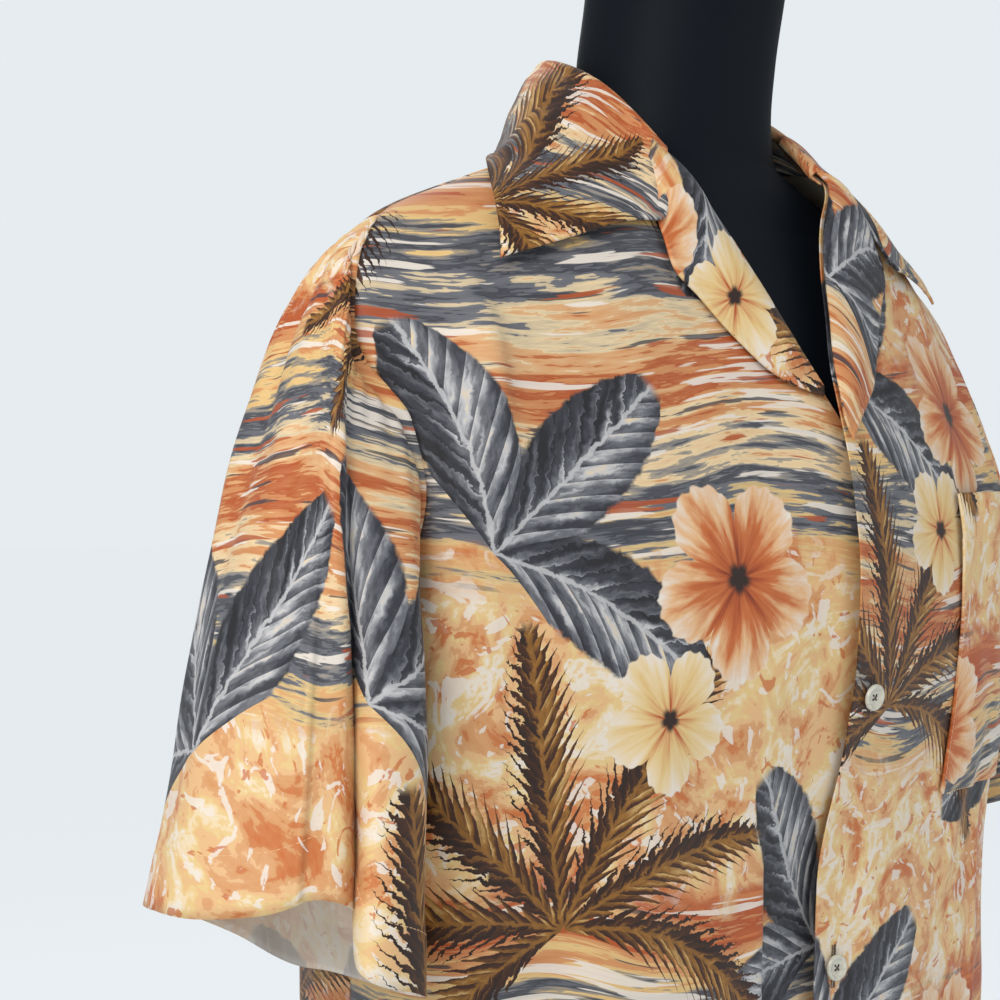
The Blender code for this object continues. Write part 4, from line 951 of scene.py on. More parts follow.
def painted_ground(u, v, strength):
    """Bands of long brush strokes, with a calm part of curled ones, and the finest marks."""
    wu = u + (noise(u, v, 6.0, 2.0) - 0.5) * 0.06
    wv = v + (noise(u, v, 4.5, 2.0, depth=3.7) - 0.5) * 0.075
    streak = noise(wu * 8.0, wv * 85.0, 1.0, 5.0, 0.62)
    fine = noise(wu * 26.0, wv * 300.0, 1.0, 3.0, 0.6, depth=5.0)
    curl = noise(wu, wv, 19.0, 4.0, 0.58, 2.1, depth=1.3)
    curl_fine = noise(wu, wv, 46.0, 3.0, 0.6, 2.6, depth=7.3)

    up = wv / BAND_PERIOD
    level = (up + (streak - 0.5) * 0.36 + (fine - 0.5) * 0.20).math("FRACT")
    bands = brushed(level, STREAK_BANDS, strength)
    for depth, name, start in BAND_STROKES:
        stroke = noise(wu * 10.0, wv * 150.0, 1.0, 3.0, 0.55, depth=depth)
        bands = mix(smooth(start, start + 0.016, stroke) * 0.85, bands, dye(name, strength))
    clouds = brushed(curl + (curl_fine - 0.5) * 0.26, CURL_DYES, strength)
    for depth, name, start in CALM_STROKES:
        stroke = noise(wu, wv, 38.0, 3.0, 0.5, 3.0, depth=depth)
        clouds = mix(smooth(start, start + 0.02, stroke) * 0.8, clouds, dye(name, strength))
    calm = (up + (curl - 0.5) * 0.16).math("FRACT") - CALM_MIDDLE
    calm = calm.math("WRAP", 0.5, -0.5).math("ABSOLUTE")
    return mix(smooth(0.25, 0.17, calm + (streak - 0.5) * 0.12), bands, clouds), fine


def painted_cloth(tree, strength, pale):
    """Colour of the print, and its finest marks.

    pale is how far the dyes fail to show through, as on the cloth's inside.
    """
    u, v, _ = coordinates(tree, "UV")
    colour, fine = painted_ground(u, v, strength)
    grain = noise(u, v, 170.0, 3.0, 0.6, 0.6, depth=9.0)
    for middle_u, middle_v, degrees in SLATE_SPRAYS:
        x, y = spin(*cell(u, v, middle_u, middle_v), degrees)
        inside, shade, rib = leaf_spray(x, y + SLATE_FOOT, grain, *SLATE_LEAVES)
        slate = mix(rib * 0.8, ramp(shade, SLATE_SHADES, strength), dye("mist", strength))
        colour = mix(inside, colour, slate)

    middle_u, middle_v, degrees = BROWN_SPRAY
    x, y = cell(u, v, middle_u, middle_v)
    inside, shade, rib = leaf_spray(*spin(x, y + BROWN_FOOT, degrees), grain, *BROWN_LEAVES)
    brown = mix(rib * 0.7, ramp(shade, BROWN_SHADES, strength), dye("gold", strength))
    colour = mix(inside, colour, brown)

    for middle_u, middle_v, reach, shades in FLOWERS:
        inside, shade, eye = blossom(*cell(u, v, middle_u, middle_v), reach)
        petals = mix(eye, ramp(shade, shades, strength), dye("dark_brown", strength))
        colour = mix(inside, colour, petals)
    if pale:
        colour = mix(fine * 0.1 + pale, colour, dye("white", strength))
    return colour, fine


def new_material(name):
    """A new material and its tree."""
    material = bpy.data.materials.new(name)
    material.use_nodes = True
    return material, material.node_tree


def set_shader(tree, settings):
    """Set the Principled shader's sockets by name, to Values, numbers or colours."""
    for name, value in settings.items():
        plug(tree, tree.nodes["Principled BSDF"].inputs[name], value)


def bumps(height, strength, distance):
    """Normals for a shader, from a height."""
    bump = height.tree.nodes.new("ShaderNodeBump")
    for name, value in (("Strength", strength), ("Distance", distance), ("Height", height)):
        plug(height.tree, bump.inputs[name], value)
    return Value(height.tree, bump.outputs["Normal"])


def weave(tree, pitch):
    """Height of a plain weave."""
    u, v, _ = coordinates(tree, "UV")
    across, along = ((way * (2 * np.pi / pitch)).math("SINE") for way in (u, v))
    slub = noise(u * 40.0, v * 900.0, 1.0, 3.0, 0.6) + noise(u * 900.0, v * 40.0, 1.0, 3.0, 0.6)
    return across * along * 0.25 + slub * 0.75


def printed_cloth(name, pale=0.0):
    material, tree = new_material(name)
    colour, fine = painted_cloth(tree, DYE_STRENGTH, pale)
    set_shader(tree, {
        "Base Color": colour,
        "Roughness": fine * 0.12 + 0.50,
        "Specular IOR Level": 0.38,
        "Sheen Weight": 0.07,
        "Sheen Roughness": 0.4,
        "Sheen Tint": (1.0, 0.96, 0.9, 1),
        "Normal": bumps(weave(tree, WEAVE_PITCH), 0.25, 0.0002),
    })
    return material


def jersey_material():
    material, tree = new_material("form_jersey")
    x, y, z = coordinates(tree, "Object")
    knit = noise(x + y, z, 1400.0, 2.0)
    cloud = noise(x, z + y, 9.0, 2.0)
    dark, light = (0.0045, 0.0062, 0.0090, 1), (0.0080, 0.0105, 0.0150, 1)
    set_shader(tree, {
        "Base Color": mix(knit * 0.5 + cloud * 0.4, dark, light),
        "Roughness": cloud * 0.12 + 0.50,
        "Specular IOR Level": 0.06,
        "Normal": bumps(knit, 0.15, 0.0004),
    })
    return material


def steel_material():
    material, tree = new_material("black_steel")
    x, y, _ = coordinates(tree, "Object")
    peel = noise(x, y, 320.0, 3.0)
    set_shader(tree, {
        "Base Color": mix(peel, (0.014, 0.014, 0.016, 1), (0.024, 0.024, 0.027, 1)),
        "Roughness": peel * 0.2 + 0.28,
        "Metallic": 0.4,
        "Normal": bumps(peel, 0.08, 0.0003),
    })
    return material


def pearl_material():
    material, tree = new_material("pearl_button")
    x, y, z = coordinates(tree, "Object")
    swirl = noise(x + y * 0.6, z, 260.0, 3.0, 0.5, 1.6)
    set_shader(tree, {
        "Base Color": mix(swirl, (0.42, 0.40, 0.30, 1), (0.86, 0.82, 0.70, 1)),
        "Roughness": swirl * 0.15 + 0.14,
        "Coat Weight": 0.5,
        "Coat Roughness": 0.08,
        "Transmission Weight": 0.15,
    })
    return material


def thread_material(name, base, light):
    material, tree = new_material(name)
    x, _, z = coordinates(tree, "Object")
    twist = ((x + z) * 9000.0).math("SINE") * 0.5 + 0.5
    set_shader(tree, {
        "Base Color": mix(twist, dye(base), dye(light)),
        "Roughness": 0.6,
        "Sheen Weight": 0.2,
    })
    return material


# Finer folds than the solids have.
# Columns: across z lean half_length half_width out
RIGHT_FRONT_CREASES = (
    (0.192, 0.800, 0.05, 0.045, 0.0050, 0.0016),
    (0.170, 0.720, 0.45, 0.060, 0.0100, 0.0014),
    (0.130, 0.765, 0.75, 0.050, 0.0090, 0.0010),
    (0.205, 0.600, -0.06, 0.090, 0.0100, 0.0020),
    (0.168, 0.520, 0.10, 0.110, 0.0130, -0.0016),
    (0.095, 0.470, -0.14, 0.100, 0.0140, 0.0014),
    (0.060, 0.690, -0.55, 0.055, 0.0100, 0.0010),
    (0.045, 0.420, 0.08, 0.120, 0.0110, 0.0016),
    (0.120, 0.340, 0.05, 0.130, 0.0150, -0.0018),
    (0.200, 0.330, -0.04, 0.140, 0.0120, 0.0020),
    (0.025, 0.280, 0.02, 0.100, 0.0100, 0.0012),
)
LEFT_FRONT_CREASES = (
    (0.160, 0.735, -0.40, 0.060, 0.0100, 0.0014),
    (0.115, 0.760, -0.75, 0.050, 0.0090, 0.0010),
    (0.195, 0.600, 0.06, 0.090, 0.0100, 0.0020),
    (0.156, 0.480, 0.02, 0.140, 0.0060, 0.0026),
    (0.128, 0.570, 0.35, 0.050, 0.0060, 0.0022),
    (0.090, 0.470, 0.12, 0.100, 0.0140, 0.0014),
    (0.030, 0.615, 0.30, 0.040, 0.0070, 0.0008),
    (0.032, 0.560, -0.25, 0.045, 0.0080, 0.0008),
    (0.040, 0.420, -0.06, 0.120, 0.0110, 0.0014),
    (0.110, 0.340, -0.05, 0.130, 0.0150, -0.0018),
    (0.200, 0.330, 0.04, 0.140, 0.0120, 0.0020),
)
BACK_CREASES = (
    (0.060, 0.700, 0.10, 0.100, 0.0110, 0.0018),
    (-0.085, 0.660, -0.12, 0.110, 0.0120, 0.0020),
    (0.140, 0.640, -0.30, 0.080, 0.0100, 0.0018),
    (-0.155, 0.620, 0.25, 0.080, 0.0110, 0.0020),
    (0.010, 0.500, 0.04, 0.160, 0.0120, 0.0018),
    (-0.060, 0.360, -0.03, 0.160, 0.0140, 0.0022),
    (0.070, 0.300, 0.05, 0.140, 0.0130, -0.0018),
    (0.190, 0.420, 0.02, 0.160, 0.0120, 0.0020),
    (-0.200, 0.450, 0.02, 0.150, 0.0120, 0.0022),
    (-0.130, 0.250, 0.04, 0.120, 0.0130, 0.0020),
)
# On a sleeve, round its turn and by share of the way from the seam to the hem.
# Columns: turn down lean half_length half_width out
RIGHT_SLEEVE_CREASES = (
    (0.155, 0.82, 0.02, 0.26, 0.016, 0.0022),
    (0.172, 0.82, 0.00, 0.34, 0.006, 0.0018),
    (0.105, 0.62, 0.06, 0.22, 0.022, -0.0016),
    (0.215, 0.45, 0.05, 0.20, 0.018, 0.0018),
    (0.060, 0.35, 0.04, 0.20, 0.020, 0.0014),
    (0.030, 0.75, -0.03, 0.25, 0.026, 0.0022),
    (0.930, 0.55, -0.05, 0.28, 0.026, 0.0024),
    (0.860, 0.75, 0.03, 0.24, 0.022, -0.0022),
    (0.790, 0.55, 0.02, 0.28, 0.022, 0.0026),
    (0.700, 0.75, -0.02, 0.26, 0.020, -0.0020),
    (0.640, 0.60, 0.02, 0.26, 0.018, 0.0020),
    (0.420, 0.70, 0.02, 0.24, 0.012, 0.0014),
)
LEFT_SLEEVE_CREASES = tuple(
    (turn + 0.012, down - 0.04, -lean, tall, wide, out)
    for turn, down, lean, tall, wide, out in RIGHT_SLEEVE_CREASES
)
# Slow ripples over all the cloth. Columns: waves a metre across, waves up, phase, height
RIPPLES = (
    (11.0, 3.0, 0.4, 0.00045),
    (17.0, -5.0, 2.1, 0.00035),
    (7.0, 9.0, 4.4, 0.00035),
    (29.0, 12.0, 1.2, 0.00014),
    (23.0, -19.0, 5.2, 0.00012),
)
SEAM_DIP = 0.0011  # how deep the cloth turns in at a sewn armhole
SEAM_REACH = 0.0026  # and within what distance of it
SHOULDER_DIP = 0.6  # the shoulder seam's dip, as a share of that
SEAM_BLEND = 0.008  # how far from a seam a piece is drawn to the edge of the next one
SEAM_NEAR = 0.002  # a point this near to the underarm's height is at it
HEM_FOLD = 0.0007  # how much a turned hem stands out
HEM_STEP = (-0.0004, 0.0012)  # where its second layer ends, from the hem's width
HEM_STITCH_IN = 0.0016  # from there to its line of stitches
HEM_PULL_WIDTH = 0.0012
STITCH_PULL = 0.0006  # how far a line of stitches pulls the cloth in
STITCH_PULL_WIDTH = 0.0010
COLLAR_STITCH_PULL = 0.0007
COLLAR_PUFF = 0.0004  # how much the collar stands out between its stitches and its edge
EDGE_ROLL = 0.0005  # how much a turned edge stands out
EDGE_ROLL_IN = 0.0016  # and how far in from the edge
EDGE_ROLL_WIDTH = 0.0013
SLEEVE_HEM_WIDTH = 0.025
BODY_HEM_WIDTH = 0.013
SLEEVE_GIRTH = 0.40  # metres of cloth round a sleeve, in the print
SLEEVE_TURN_OVER = 0.97  # share of the turn after which a sleeve's creases count from zero
PUCKER_HEIGHT = 0.0006  # gathers beside a sleeve's seam
PUCKERS = 38
COLLAR_THICK = 0.0013  # of the collar, the lapels and the pocket, each of two layers
COLLAR_ALONG = 0.46
COLLAR_GRAIN_TURN = 0.70  # radians by which the grain turns at the front ends
INSIDE_PALE = 0.58  # how far the print fails to show through to the inside
STITCH_IN = 0.005  # from the collar's edge to its line of stitches
POCKET_STITCH_IN = 0.0016
POCKET_HEM_WIDTH = 0.026
STITCH_LONG = 0.0020
STITCH_PITCH = 0.0027
STITCH_RADIUS = 0.00016
COLLAR_STITCH_RADIUS = 0.00014
BUTTONHOLE_THREAD = 0.00027
BUTTON_THREAD = 0.00017
# Rings of a short thread with rounded ends: share of its length, share of its radius.
THREAD_RINGS = ((0.0, 0.25), (0.12, 0.9), (0.5, 1.0), (0.88, 0.9), (1.0, 0.25))
# Points of each piece's grid, in the order that its grid function takes.
FRONT_COUNTS = (120, 210)
BACK_COUNTS = (80, 180)
SLEEVE_COUNTS = (216, 90)
LAPEL_COUNTS = (120, 34)
POCKET_COUNTS = (64, 90)
COLLAR_COUNTS = (260, 8, 46)
SLEEVE_PASSES = 6  # of smoothing, after each of the rounds that clear and sew a sleeve
SLEEVE_ROUNDS = 4
FALL_PASSES = 8  # of smoothing over all the collar's fall, and low down on it
CALM_PASSES = 240
STAND_ROWS = COLLAR_COUNTS[1] + len(COLLAR_BEND_TURNS)  # rows of the collar before its fall
# Where in the print each piece of cloth starts, in metres.
PRINT_STARTS = {
    "front_right": (0.0, 0.0),
    "front_left": (0.137, 0.09),
    "back": (0.95, 0.05),
    "sleeve_right": (0.33, 0.60),
    "sleeve_left": (0.71, 0.48),
    "lapel_right": (0.52, 0.235),
    "lapel_left": (1.33, 0.10),
    "pocket": (0.270, 0.315),
    "collar": (0.030, 0.53),
}


def bell(distance, width):
    """1 at no distance, falling off on both sides over a width."""
    return np.exp(-((distance / width) ** 2))


def creases_out(rows, a, b):
    """How far the creases in a table stand out at places a, b."""
    out = np.zeros(np.broadcast(a, b).shape)
    for middle_a, middle_b, lean, half_length, half_width, most in rows:
        along = (b - middle_b) * np.cos(lean) + (a - middle_a) * np.sin(lean)
        off = (a - middle_a) * np.cos(lean) - (b - middle_b) * np.sin(lean)
        out = out + most * bell(off, half_width) * bell(along, half_length)
    return out


def ripples_out(a, b):
    out = np.zeros(np.broadcast(a, b).shape)
    for waves_a, waves_b, phase, height in RIPPLES:
        out = out + height * np.sin(2 * np.pi * (waves_a * a + waves_b * b) + phase)
    return out


def dip_along(grid, line):
    """How far a sheet turns in beside a seam, given as a line of points."""
    best = np.full(grid.shape[:2], 1e9)
    for point in line:
        best = np.minimum(best, np.sum((grid - point) ** 2, axis=-1))
    return -SEAM_DIP * bell(np.sqrt(best), SEAM_REACH)


def hem_out(distance, width):
    """A turned hem: twice as thick up to its line of stitches, which pull it in."""
    thick = HEM_FOLD * (1 - ease(*HEM_STEP, distance - width))
    return thick - STITCH_PULL * bell(distance - width + HEM_STITCH_IN, HEM_PULL_WIDTH)


def edge_roll(distance):
    """A turned edge: rounded down at the very edge, raised just inside it."""
    return EDGE_ROLL * bell(distance - EDGE_ROLL_IN, EDGE_ROLL_WIDTH)


def outward_normals(grid, wrap=False):
    """Unit normals of a grid of points, away from the middle of the garment."""
    normal = normals_of(grid, wrap)
    away = np.sum(normal * (grid - AXIS_POINT) * OUTWARDS, axis=-1)
    return -normal if np.median(away) < 0 else normal


def worked(grid, out, wrap=False):
    """A grid moved out along its own normals."""
    return grid + outward_normals(grid, wrap) * out[..., None]


def quads(rows, count, wrap=False):
    """Faces of a grid of points, as rows of four numbers; wrap closes its rows."""
    at = np.arange(rows * count).reshape(rows, count)
    beside = np.roll(at, -1, axis=1)
    if not wrap:
        at, beside = at[:, :-1], beside[:, :-1]
    return np.stack([at[:-1], beside[:-1], beside[1:], at[1:]], axis=-1).reshape(-1, 4)


def keep_clear(grids):
    """A function that moves points off these sheets, out to a least distance."""
    points, faces = [], []
    for grid in grids:
        faces.extend((quads(*grid.shape[:2]) + len(points)).tolist())
        points.extend(grid.reshape(-1, 3).tolist())
    tree = BVHTree.FromPolygons(points, faces)

    def clear(moving, least):
        flat = moving.reshape(-1, 3).copy()
        wanted = np.broadcast_to(least, moving.shape[:2]).ravel()
        for k, (point, room) in enumerate(zip(flat.copy(), wanted)):
            place, normal = (np.array(found) for found in tree.find_nearest(point.tolist())[:2])
            if np.dot(normal * OUTWARDS, place - AXIS_POINT) < 0:
                normal = -normal
            off = point - place
            height = np.dot(off, normal)
            far = np.linalg.norm(off)
            if 0 < height and far < room:
                flat[k] = place + off * (room / far)
            elif height <= 0 and far + height < EDGE_REACH:
                flat[k] = place + normal * room
        return flat.reshape(moving.shape)

    return clear


def eased(grid, passes, wrap=False, edge_too=False):
    """A grid with its small steps smoothed out; the first row stays."""
    for _ in range(passes):
        if wrap:
            beside = (np.roll(grid, 1, axis=1) + np.roll(grid, -1, axis=1)) / 2
        else:
            beside = grid.copy()
            beside[:, 1:-1] = (grid[:, 2:] + grid[:, :-2]) / 2
        over = grid.copy()
        over[1:-1] = (grid[2:] + grid[:-2]) / 2
        soft = grid * 0.4 + beside * 0.3 + over * 0.3
        soft[0] = grid[0]
        soft[-1] = grid[-1] * 0.5 + beside[-1] * 0.5 if edge_too else grid[-1]
        grid = soft
    return grid


def along_rows(grid):
    """Distance down each column of a grid from its first row."""
    step = np.linalg.norm(np.diff(grid, axis=0), axis=-1)
    return np.concatenate([np.zeros((1, grid.shape[1])), np.cumsum(step, axis=0)])


def along_columns(grid):
    """Distance along each row of a grid from its first column."""
    return along_rows(grid.transpose(1, 0, 2)).T


def onto_line(points, line):
    """The nearest place on a line of points to each point."""
    start, way = line[:-1][None], np.diff(line, axis=0)[None]
    off = points[:, None] - start
    share = np.sum(off * way, axis=-1) / np.maximum(np.sum(way * way, axis=-1), 1e-12)
    place = start + way * np.clip(share, 0, 1)[..., None]
    best = np.argmin(np.sum((points[:, None] - place) ** 2, axis=-1), axis=1)
    return place[np.arange(len(points)), best]


def show(obj, nodes):
    """Have a piece ride on the body, in place of these solids."""
    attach(obj, "root")
    for node in nodes:
        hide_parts(node)
    return obj


def add_mesh(name, points, faces, *materials):
    mesh = bpy.data.meshes.new(name)
    mesh.from_pydata(np.asarray(points, float).tolist(), [], faces)
    mesh.polygons.foreach_set("use_smooth", np.ones(len(faces), bool))
    for material in materials:
        mesh.materials.append(material)
    obj = bpy.data.objects.new(name, mesh)
    bpy.context.scene.collection.objects.link(obj)
    return obj


def turn_outwards(mesh):
    """Face a sheet's normals away from the middle of the garment."""
    normal, centre = np.zeros((2, len(mesh.polygons) * 3))
    mesh.polygons.foreach_get("normal", normal)
    mesh.polygons.foreach_get("center", centre)
    away = (centre.reshape(-1, 3) - AXIS_POINT) * OUTWARDS
    if np.sum(normal.reshape(-1, 3) * away) < 0:
        mesh.flip_normals()


def add_cloth(name, grid, places, materials, thick):
    """A piece of cloth through a grid of points, in place of the solid of its name.

    places are the points' UV places in metres. A tube has one more column of them,
    where its cloth closes.
    """
    rows, count = grid.shape[:2]
    faces = quads(rows, count, wrap=places.shape[1] > count)
    obj = add_mesh(name + "_cloth", grid.reshape(-1, 3), faces.tolist(), *materials)
    corners = (places + PRINT_STARTS[name]).reshape(-1, 2)[quads(rows, places.shape[1])]
    layer = obj.data.uv_layers.new(name="cloth")
    layer.data.foreach_set("uv", corners.astype(np.float32).ravel())
    turn_outwards(obj.data)
    wall = obj.modifiers.new("wall", "SOLIDIFY")
    wall.thickness = thick
    wall.offset = 0.0
    wall.material_offset = len(materials) - 1
    return show(obj, [name])


def seams_out(grid, across, z, surface, armhole, mirrors):
    """How far a panel turns in at its armholes and shoulders, and out at its hem."""
    line = follow(armhole, np.linspace(0, 1, 160))
    line = surface(line[:, 0], line[:, 1])
    out = hem_out(z - HEM_Z, BODY_HEM_WIDTH)
    for mirror in mirrors:
        out = out + dip_along(grid, line * (mirror, 1, 1))
    return out + dip_along(grid, grid[0][np.abs(across[0]) >= NECK_HALF]) * SHOULDER_DIP


def sewn(grid, across, back_grid, side):
    """A front whose shoulder and side edges lie on the back's."""
    top = onto_line(grid[0], back_grid[0]) - grid[0]
    top = top * ease(NECK_HALF - 0.003, NECK_HALF, across[0])[:, None]
    grid = grid + top * bell(along_rows(grid), SEAM_BLEND)[..., None]
    back_edge = back_grid[:, 0 if side < 0 else -1]
    beside = onto_line(grid[:, -1], back_edge) - grid[:, -1]
    beside = beside * (grid[:, -1:, 2] < UNDERARM_Z + SEAM_NEAR)
    inwards = along_columns(grid[:, ::-1])[:, ::-1]
    return grid + beside[:, None] * bell(inwards, SEAM_BLEND)[..., None]


def front_piece(side, materials, back_grid):
    if side < 0:
        roll, armhole, edge = RIGHT_ROLL, RIGHT_FRONT_ARMHOLE, -UNDERLAP
        surface_point, creases, name = front_right_point, RIGHT_FRONT_CREASES, "front_right"
    else:
        roll, armhole, edge = LEFT_ROLL, LEFT_FRONT_ARMHOLE, OVERLAP_EDGE
        surface_point, creases, name = front_left_point, LEFT_FRONT_CREASES, "front_left"
    places = panel_places(roll, armhole, edge, *FRONT_COUNTS)
    across, z = places[..., 0], places[..., 1]
    grid = surface_point(across, z)
    out = creases_out(creases, across, z) + ripples_out(across * side, z)
    out = out * ease(0, 0.05, across - across[:, :1])
    out = out + seams_out(grid, across, z, surface_point, armhole, (1,))
    grid = sewn(worked(grid, out), across, back_grid, side)
    cloth = add_cloth(name, grid, places * (side, 1), materials, WALL)
    return cloth, grid


def back_piece(materials):
    places = panel_places(BACK_NECKLINE, BACK_ARMHOLE, 0.0, *BACK_COUNTS)
    places = np.concatenate([(places * (-1, 1))[:, :0:-1], places], axis=1)
    across, z = places[..., 0], places[..., 1]
    grid = back_point(across, z)
    out = creases_out(BACK_CREASES, across, z) + ripples_out(across, z)
    out = out * ease(0, 0.03, shoulder_z(across) - z)
    out = out + seams_out(grid, across, z, back_point, BACK_ARMHOLE, (-1, 1))
    grid = worked(grid, out)
    return add_cloth("back", grid, places * (-1, 1), materials, WALL), grid


def sleeve_edges(side, front_grid, back_grid):
    """The armhole edges of a front and of the back, to which a sleeve is sewn."""
    edges = front_grid[:, -1], back_grid[:, 0 if side < 0 else -1]
    return [edge[edge[:, 2] > UNDERARM_Z - SEAM_NEAR] for edge in edges]


def sleeve_out(side, turn, down):
    """How far a sleeve's cloth stands out: creases, ripples, gathers and its hem."""
    creases = RIGHT_SLEEVE_CREASES if side < 0 else LEFT_SLEEVE_CREASES
    share = down / down[-1]
    wrapped = np.where(turn > SLEEVE_TURN_OVER, turn - 1, turn)
    out = creases_out(creases, wrapped, share) + ripples_out(turn * SLEEVE_GIRTH, share * 0.3 + side)
    pucker = PUCKER_HEIGHT * np.sin(turn * 2 * np.pi * PUCKERS + 2 * np.sin(turn * 40))
    pucker = pucker * ease(0.30, 0.02, share) * ease(0.0, 0.03, share)
    return out * ease(0.0, 0.12, share) + pucker + hem_out(down[-1] - down, SLEEVE_HEM_WIDTH)


def sleeve_piece(side, clear, materials, edges):
    """A sleeve, sewn to the armhole edges. Its grid and print close at the underarm."""
    count_turn, count_down = SLEEVE_COUNTS
    grid = sleeve_grid(side, count_turn, count_down)
    front = np.arange(count_turn) <= count_turn // 2
    on_seam = np.where(front[:, None], *(onto_line(grid[0], edge) for edge in edges))
    for _ in range(SLEEVE_ROUNDS):
        down = along_rows(grid)
        grid = clear(grid, np.minimum(SLEEVE_CLEAR, down * 0.5))
        grid = grid + (on_seam - grid[0]) * bell(down, SEAM_BLEND)[..., None]
        grid = eased(grid, SLEEVE_PASSES, wrap=True)
    turn = np.broadcast_to(np.arange(count_turn) / count_turn, (count_down, count_turn))
    out = sleeve_out(side, turn, along_rows(grid))
    grid = np.roll(worked(grid, out, True), -count_turn // 2, axis=1)
    from_top = np.roll(np.where(turn < 0.5, turn, turn - 1), -count_turn // 2, axis=1)
    uv = np.stack([from_top * SLEEVE_GIRTH * -side, up_sleeve(grid)], axis=-1)
    uv = np.concatenate([uv, uv[:, :1] + (SLEEVE_GIRTH * -side, 0)], axis=1)
    name = "sleeve_right" if side < 0 else "sleeve_left"
    return add_cloth(name, grid, uv, materials, WALL), grid


def up_sleeve(grid):
    """How far up the sleeve's cloth each point lies, along its hang and over its head."""
    out, back, up = np.abs(grid[..., 0]), grid[..., 1], grid[..., 2]
    on_head = ease(0.74, 0.85, up)
    return (up - 0.545) * 0.98 + (0.300 - out) * (0.19 + 0.50 * on_head) + back * 0.05


def lapel_piece(side, clear, materials):
    grid = eased(clear(lapel_grid(side, *LAPEL_COUNTS), LAPEL_CLEAR), 3)
    across = along_columns(grid)
    down = np.broadcast_to(along_path(grid[:, 0])[:, None], across.shape)
    grid = worked(grid, edge_roll(across[:, -1:] - across))
    uv = np.stack([across * -side, down], axis=-1)
    name = "lapel_right" if side < 0 else "lapel_left"
    return add_cloth(name, grid, uv, materials, COLLAR_THICK)


def pocket_piece(clear, materials):
    """The patch pocket, with a turned hem at its mouth and its sides turned in."""
    grid = eased(clear(pocket_grid(*POCKET_COUNTS), LAPEL_CLEAR), 2)
    down = along_rows(grid)
    across = along_columns(grid)
    sides = np.minimum(np.minimum(across, across[:, -1:] - across), down[-1:] - down)
    pull = STITCH_PULL * bell(sides - POCKET_STITCH_IN, STITCH_PULL_WIDTH)
    out = edge_roll(np.minimum(sides, down)) - pull
    out = out + hem_out(down, POCKET_HEM_WIDTH) + ripples_out(across * 1.4 + 0.3, down * 1.2)
    grid = worked(grid, out)
    uv = np.stack([across, -down], axis=-1)
    return add_cloth("pocket", grid, uv, materials, COLLAR_THICK), grid


def pocket_seam(grid):
    """Stitches down one side of the pocket, along its foot and up the other, and its hem's."""
    normal = outward_normals(grid)
    down = along_path(grid[:, 0])
    across = along_path(grid[0])
    low, hem = np.searchsorted(down, (down[-1] - POCKET_STITCH_IN, POCKET_HEM_WIDTH - HEM_STITCH_IN))
    near, far = np.searchsorted(across, (POCKET_STITCH_IN, across[-1] - POCKET_STITCH_IN))
    lines = []
    for rows, cols in (
        (np.arange(2, low), near),
        (low, np.arange(near, far)),
        (np.arange(low, 2, -1), far),
        (hem, np.arange(near, far)),
    ):
        lines.extend(stitch_lines(grid[rows, cols], normal[rows, cols], COLLAR_THICK))
    return lines


def eased_fall(grid):
    """The collar with its fall smoothed, most of all low down and away from the front ends."""
    soft = eased(grid[STAND_ROWS - 1:], FALL_PASSES, edge_too=True)
    calm = eased(soft, CALM_PASSES, edge_too=True)
    share = np.linspace(0, 1, grid.shape[1])
    inner = ease(0.06, 0.14, share) * ease(0.94, 0.86, share)
    low = (ease(0.15, 0.45, np.linspace(0, 1, len(soft)))[:, None] * inner)[..., None]
    return np.concatenate([grid[:STAND_ROWS - 1], soft * (1 - low) + calm * low])


def distance_to_fall_edge(grid, down):
    """Distance from each point of the collar to the edge or the front ends of its fall."""
    nearest = down[-1:] - down
    for line in (grid[STAND_ROWS:, 0], grid[STAND_ROWS:, -1]):
        for point in line:
            nearest = np.minimum(nearest, np.linalg.norm(grid - point, axis=-1))
    return nearest


def collar_piece(clear, materials):
    grid = eased_fall(collar_grid(clear, *COLLAR_COUNTS))
    down = along_rows(grid)
    along = np.linspace(0, COLLAR_ALONG, grid.shape[1])
    nearest = distance_to_fall_edge(grid, down)
    on_fall = (np.arange(grid.shape[0]) >= STAND_ROWS)[:, None]
    puff = COLLAR_PUFF * (1 - ease(STITCH_IN - 0.001, STITCH_IN + 0.0005, nearest))
    pull = COLLAR_STITCH_PULL * bell(nearest - STITCH_IN, STITCH_PULL_WIDTH)
    out = edge_roll(nearest) - pull + puff
    out = out + ripples_out(along[None, :] * 1.3, down * 2) * 0.8
    grid = worked(grid, on_fall * out)
    cloth = add_cloth("collar", grid, collar_uv(along, down), materials, COLLAR_THICK)
    return cloth, grid


def collar_uv(along, down):
    """The collar's cloth, cut so that its grain turns level towards both front ends."""
    share = along / along[-1]
    turn = COLLAR_GRAIN_TURN * (ease(0.34, 0.10, share) - ease(0.66, 0.90, share))
    rise = np.cumsum(np.sin(turn)) * (along[1] - along[0])
    rise -= rise[len(rise) // 2]
    return np.stack([along + down * np.sin(turn), rise - down * np.cos(turn)], axis=-1)


def closed_tube(rings, count, first=0):
    """Faces of a tube of rings of points, closed at both ends."""
    ring = np.arange(count) + first
    ends = [ring[::-1].tolist(), (ring + (rings - 1) * count).tolist()]
    return (quads(rings, count, True) + first).tolist() + ends


def tube_points(start, end, radius, sides):
    """Points of a short straight thread with rounded ends."""
    way = unit(end - start)
    other = unit(np.cross(way, (0.31, 0.53, 0.79)))
    angle = 2 * np.pi * np.arange(sides)[:, None] / sides
    around = (other * np.cos(angle) + np.cross(way, other) * np.sin(angle)) * radius
    return np.concatenate([start + (end - start) * share + around * size for share, size in THREAD_RINGS])


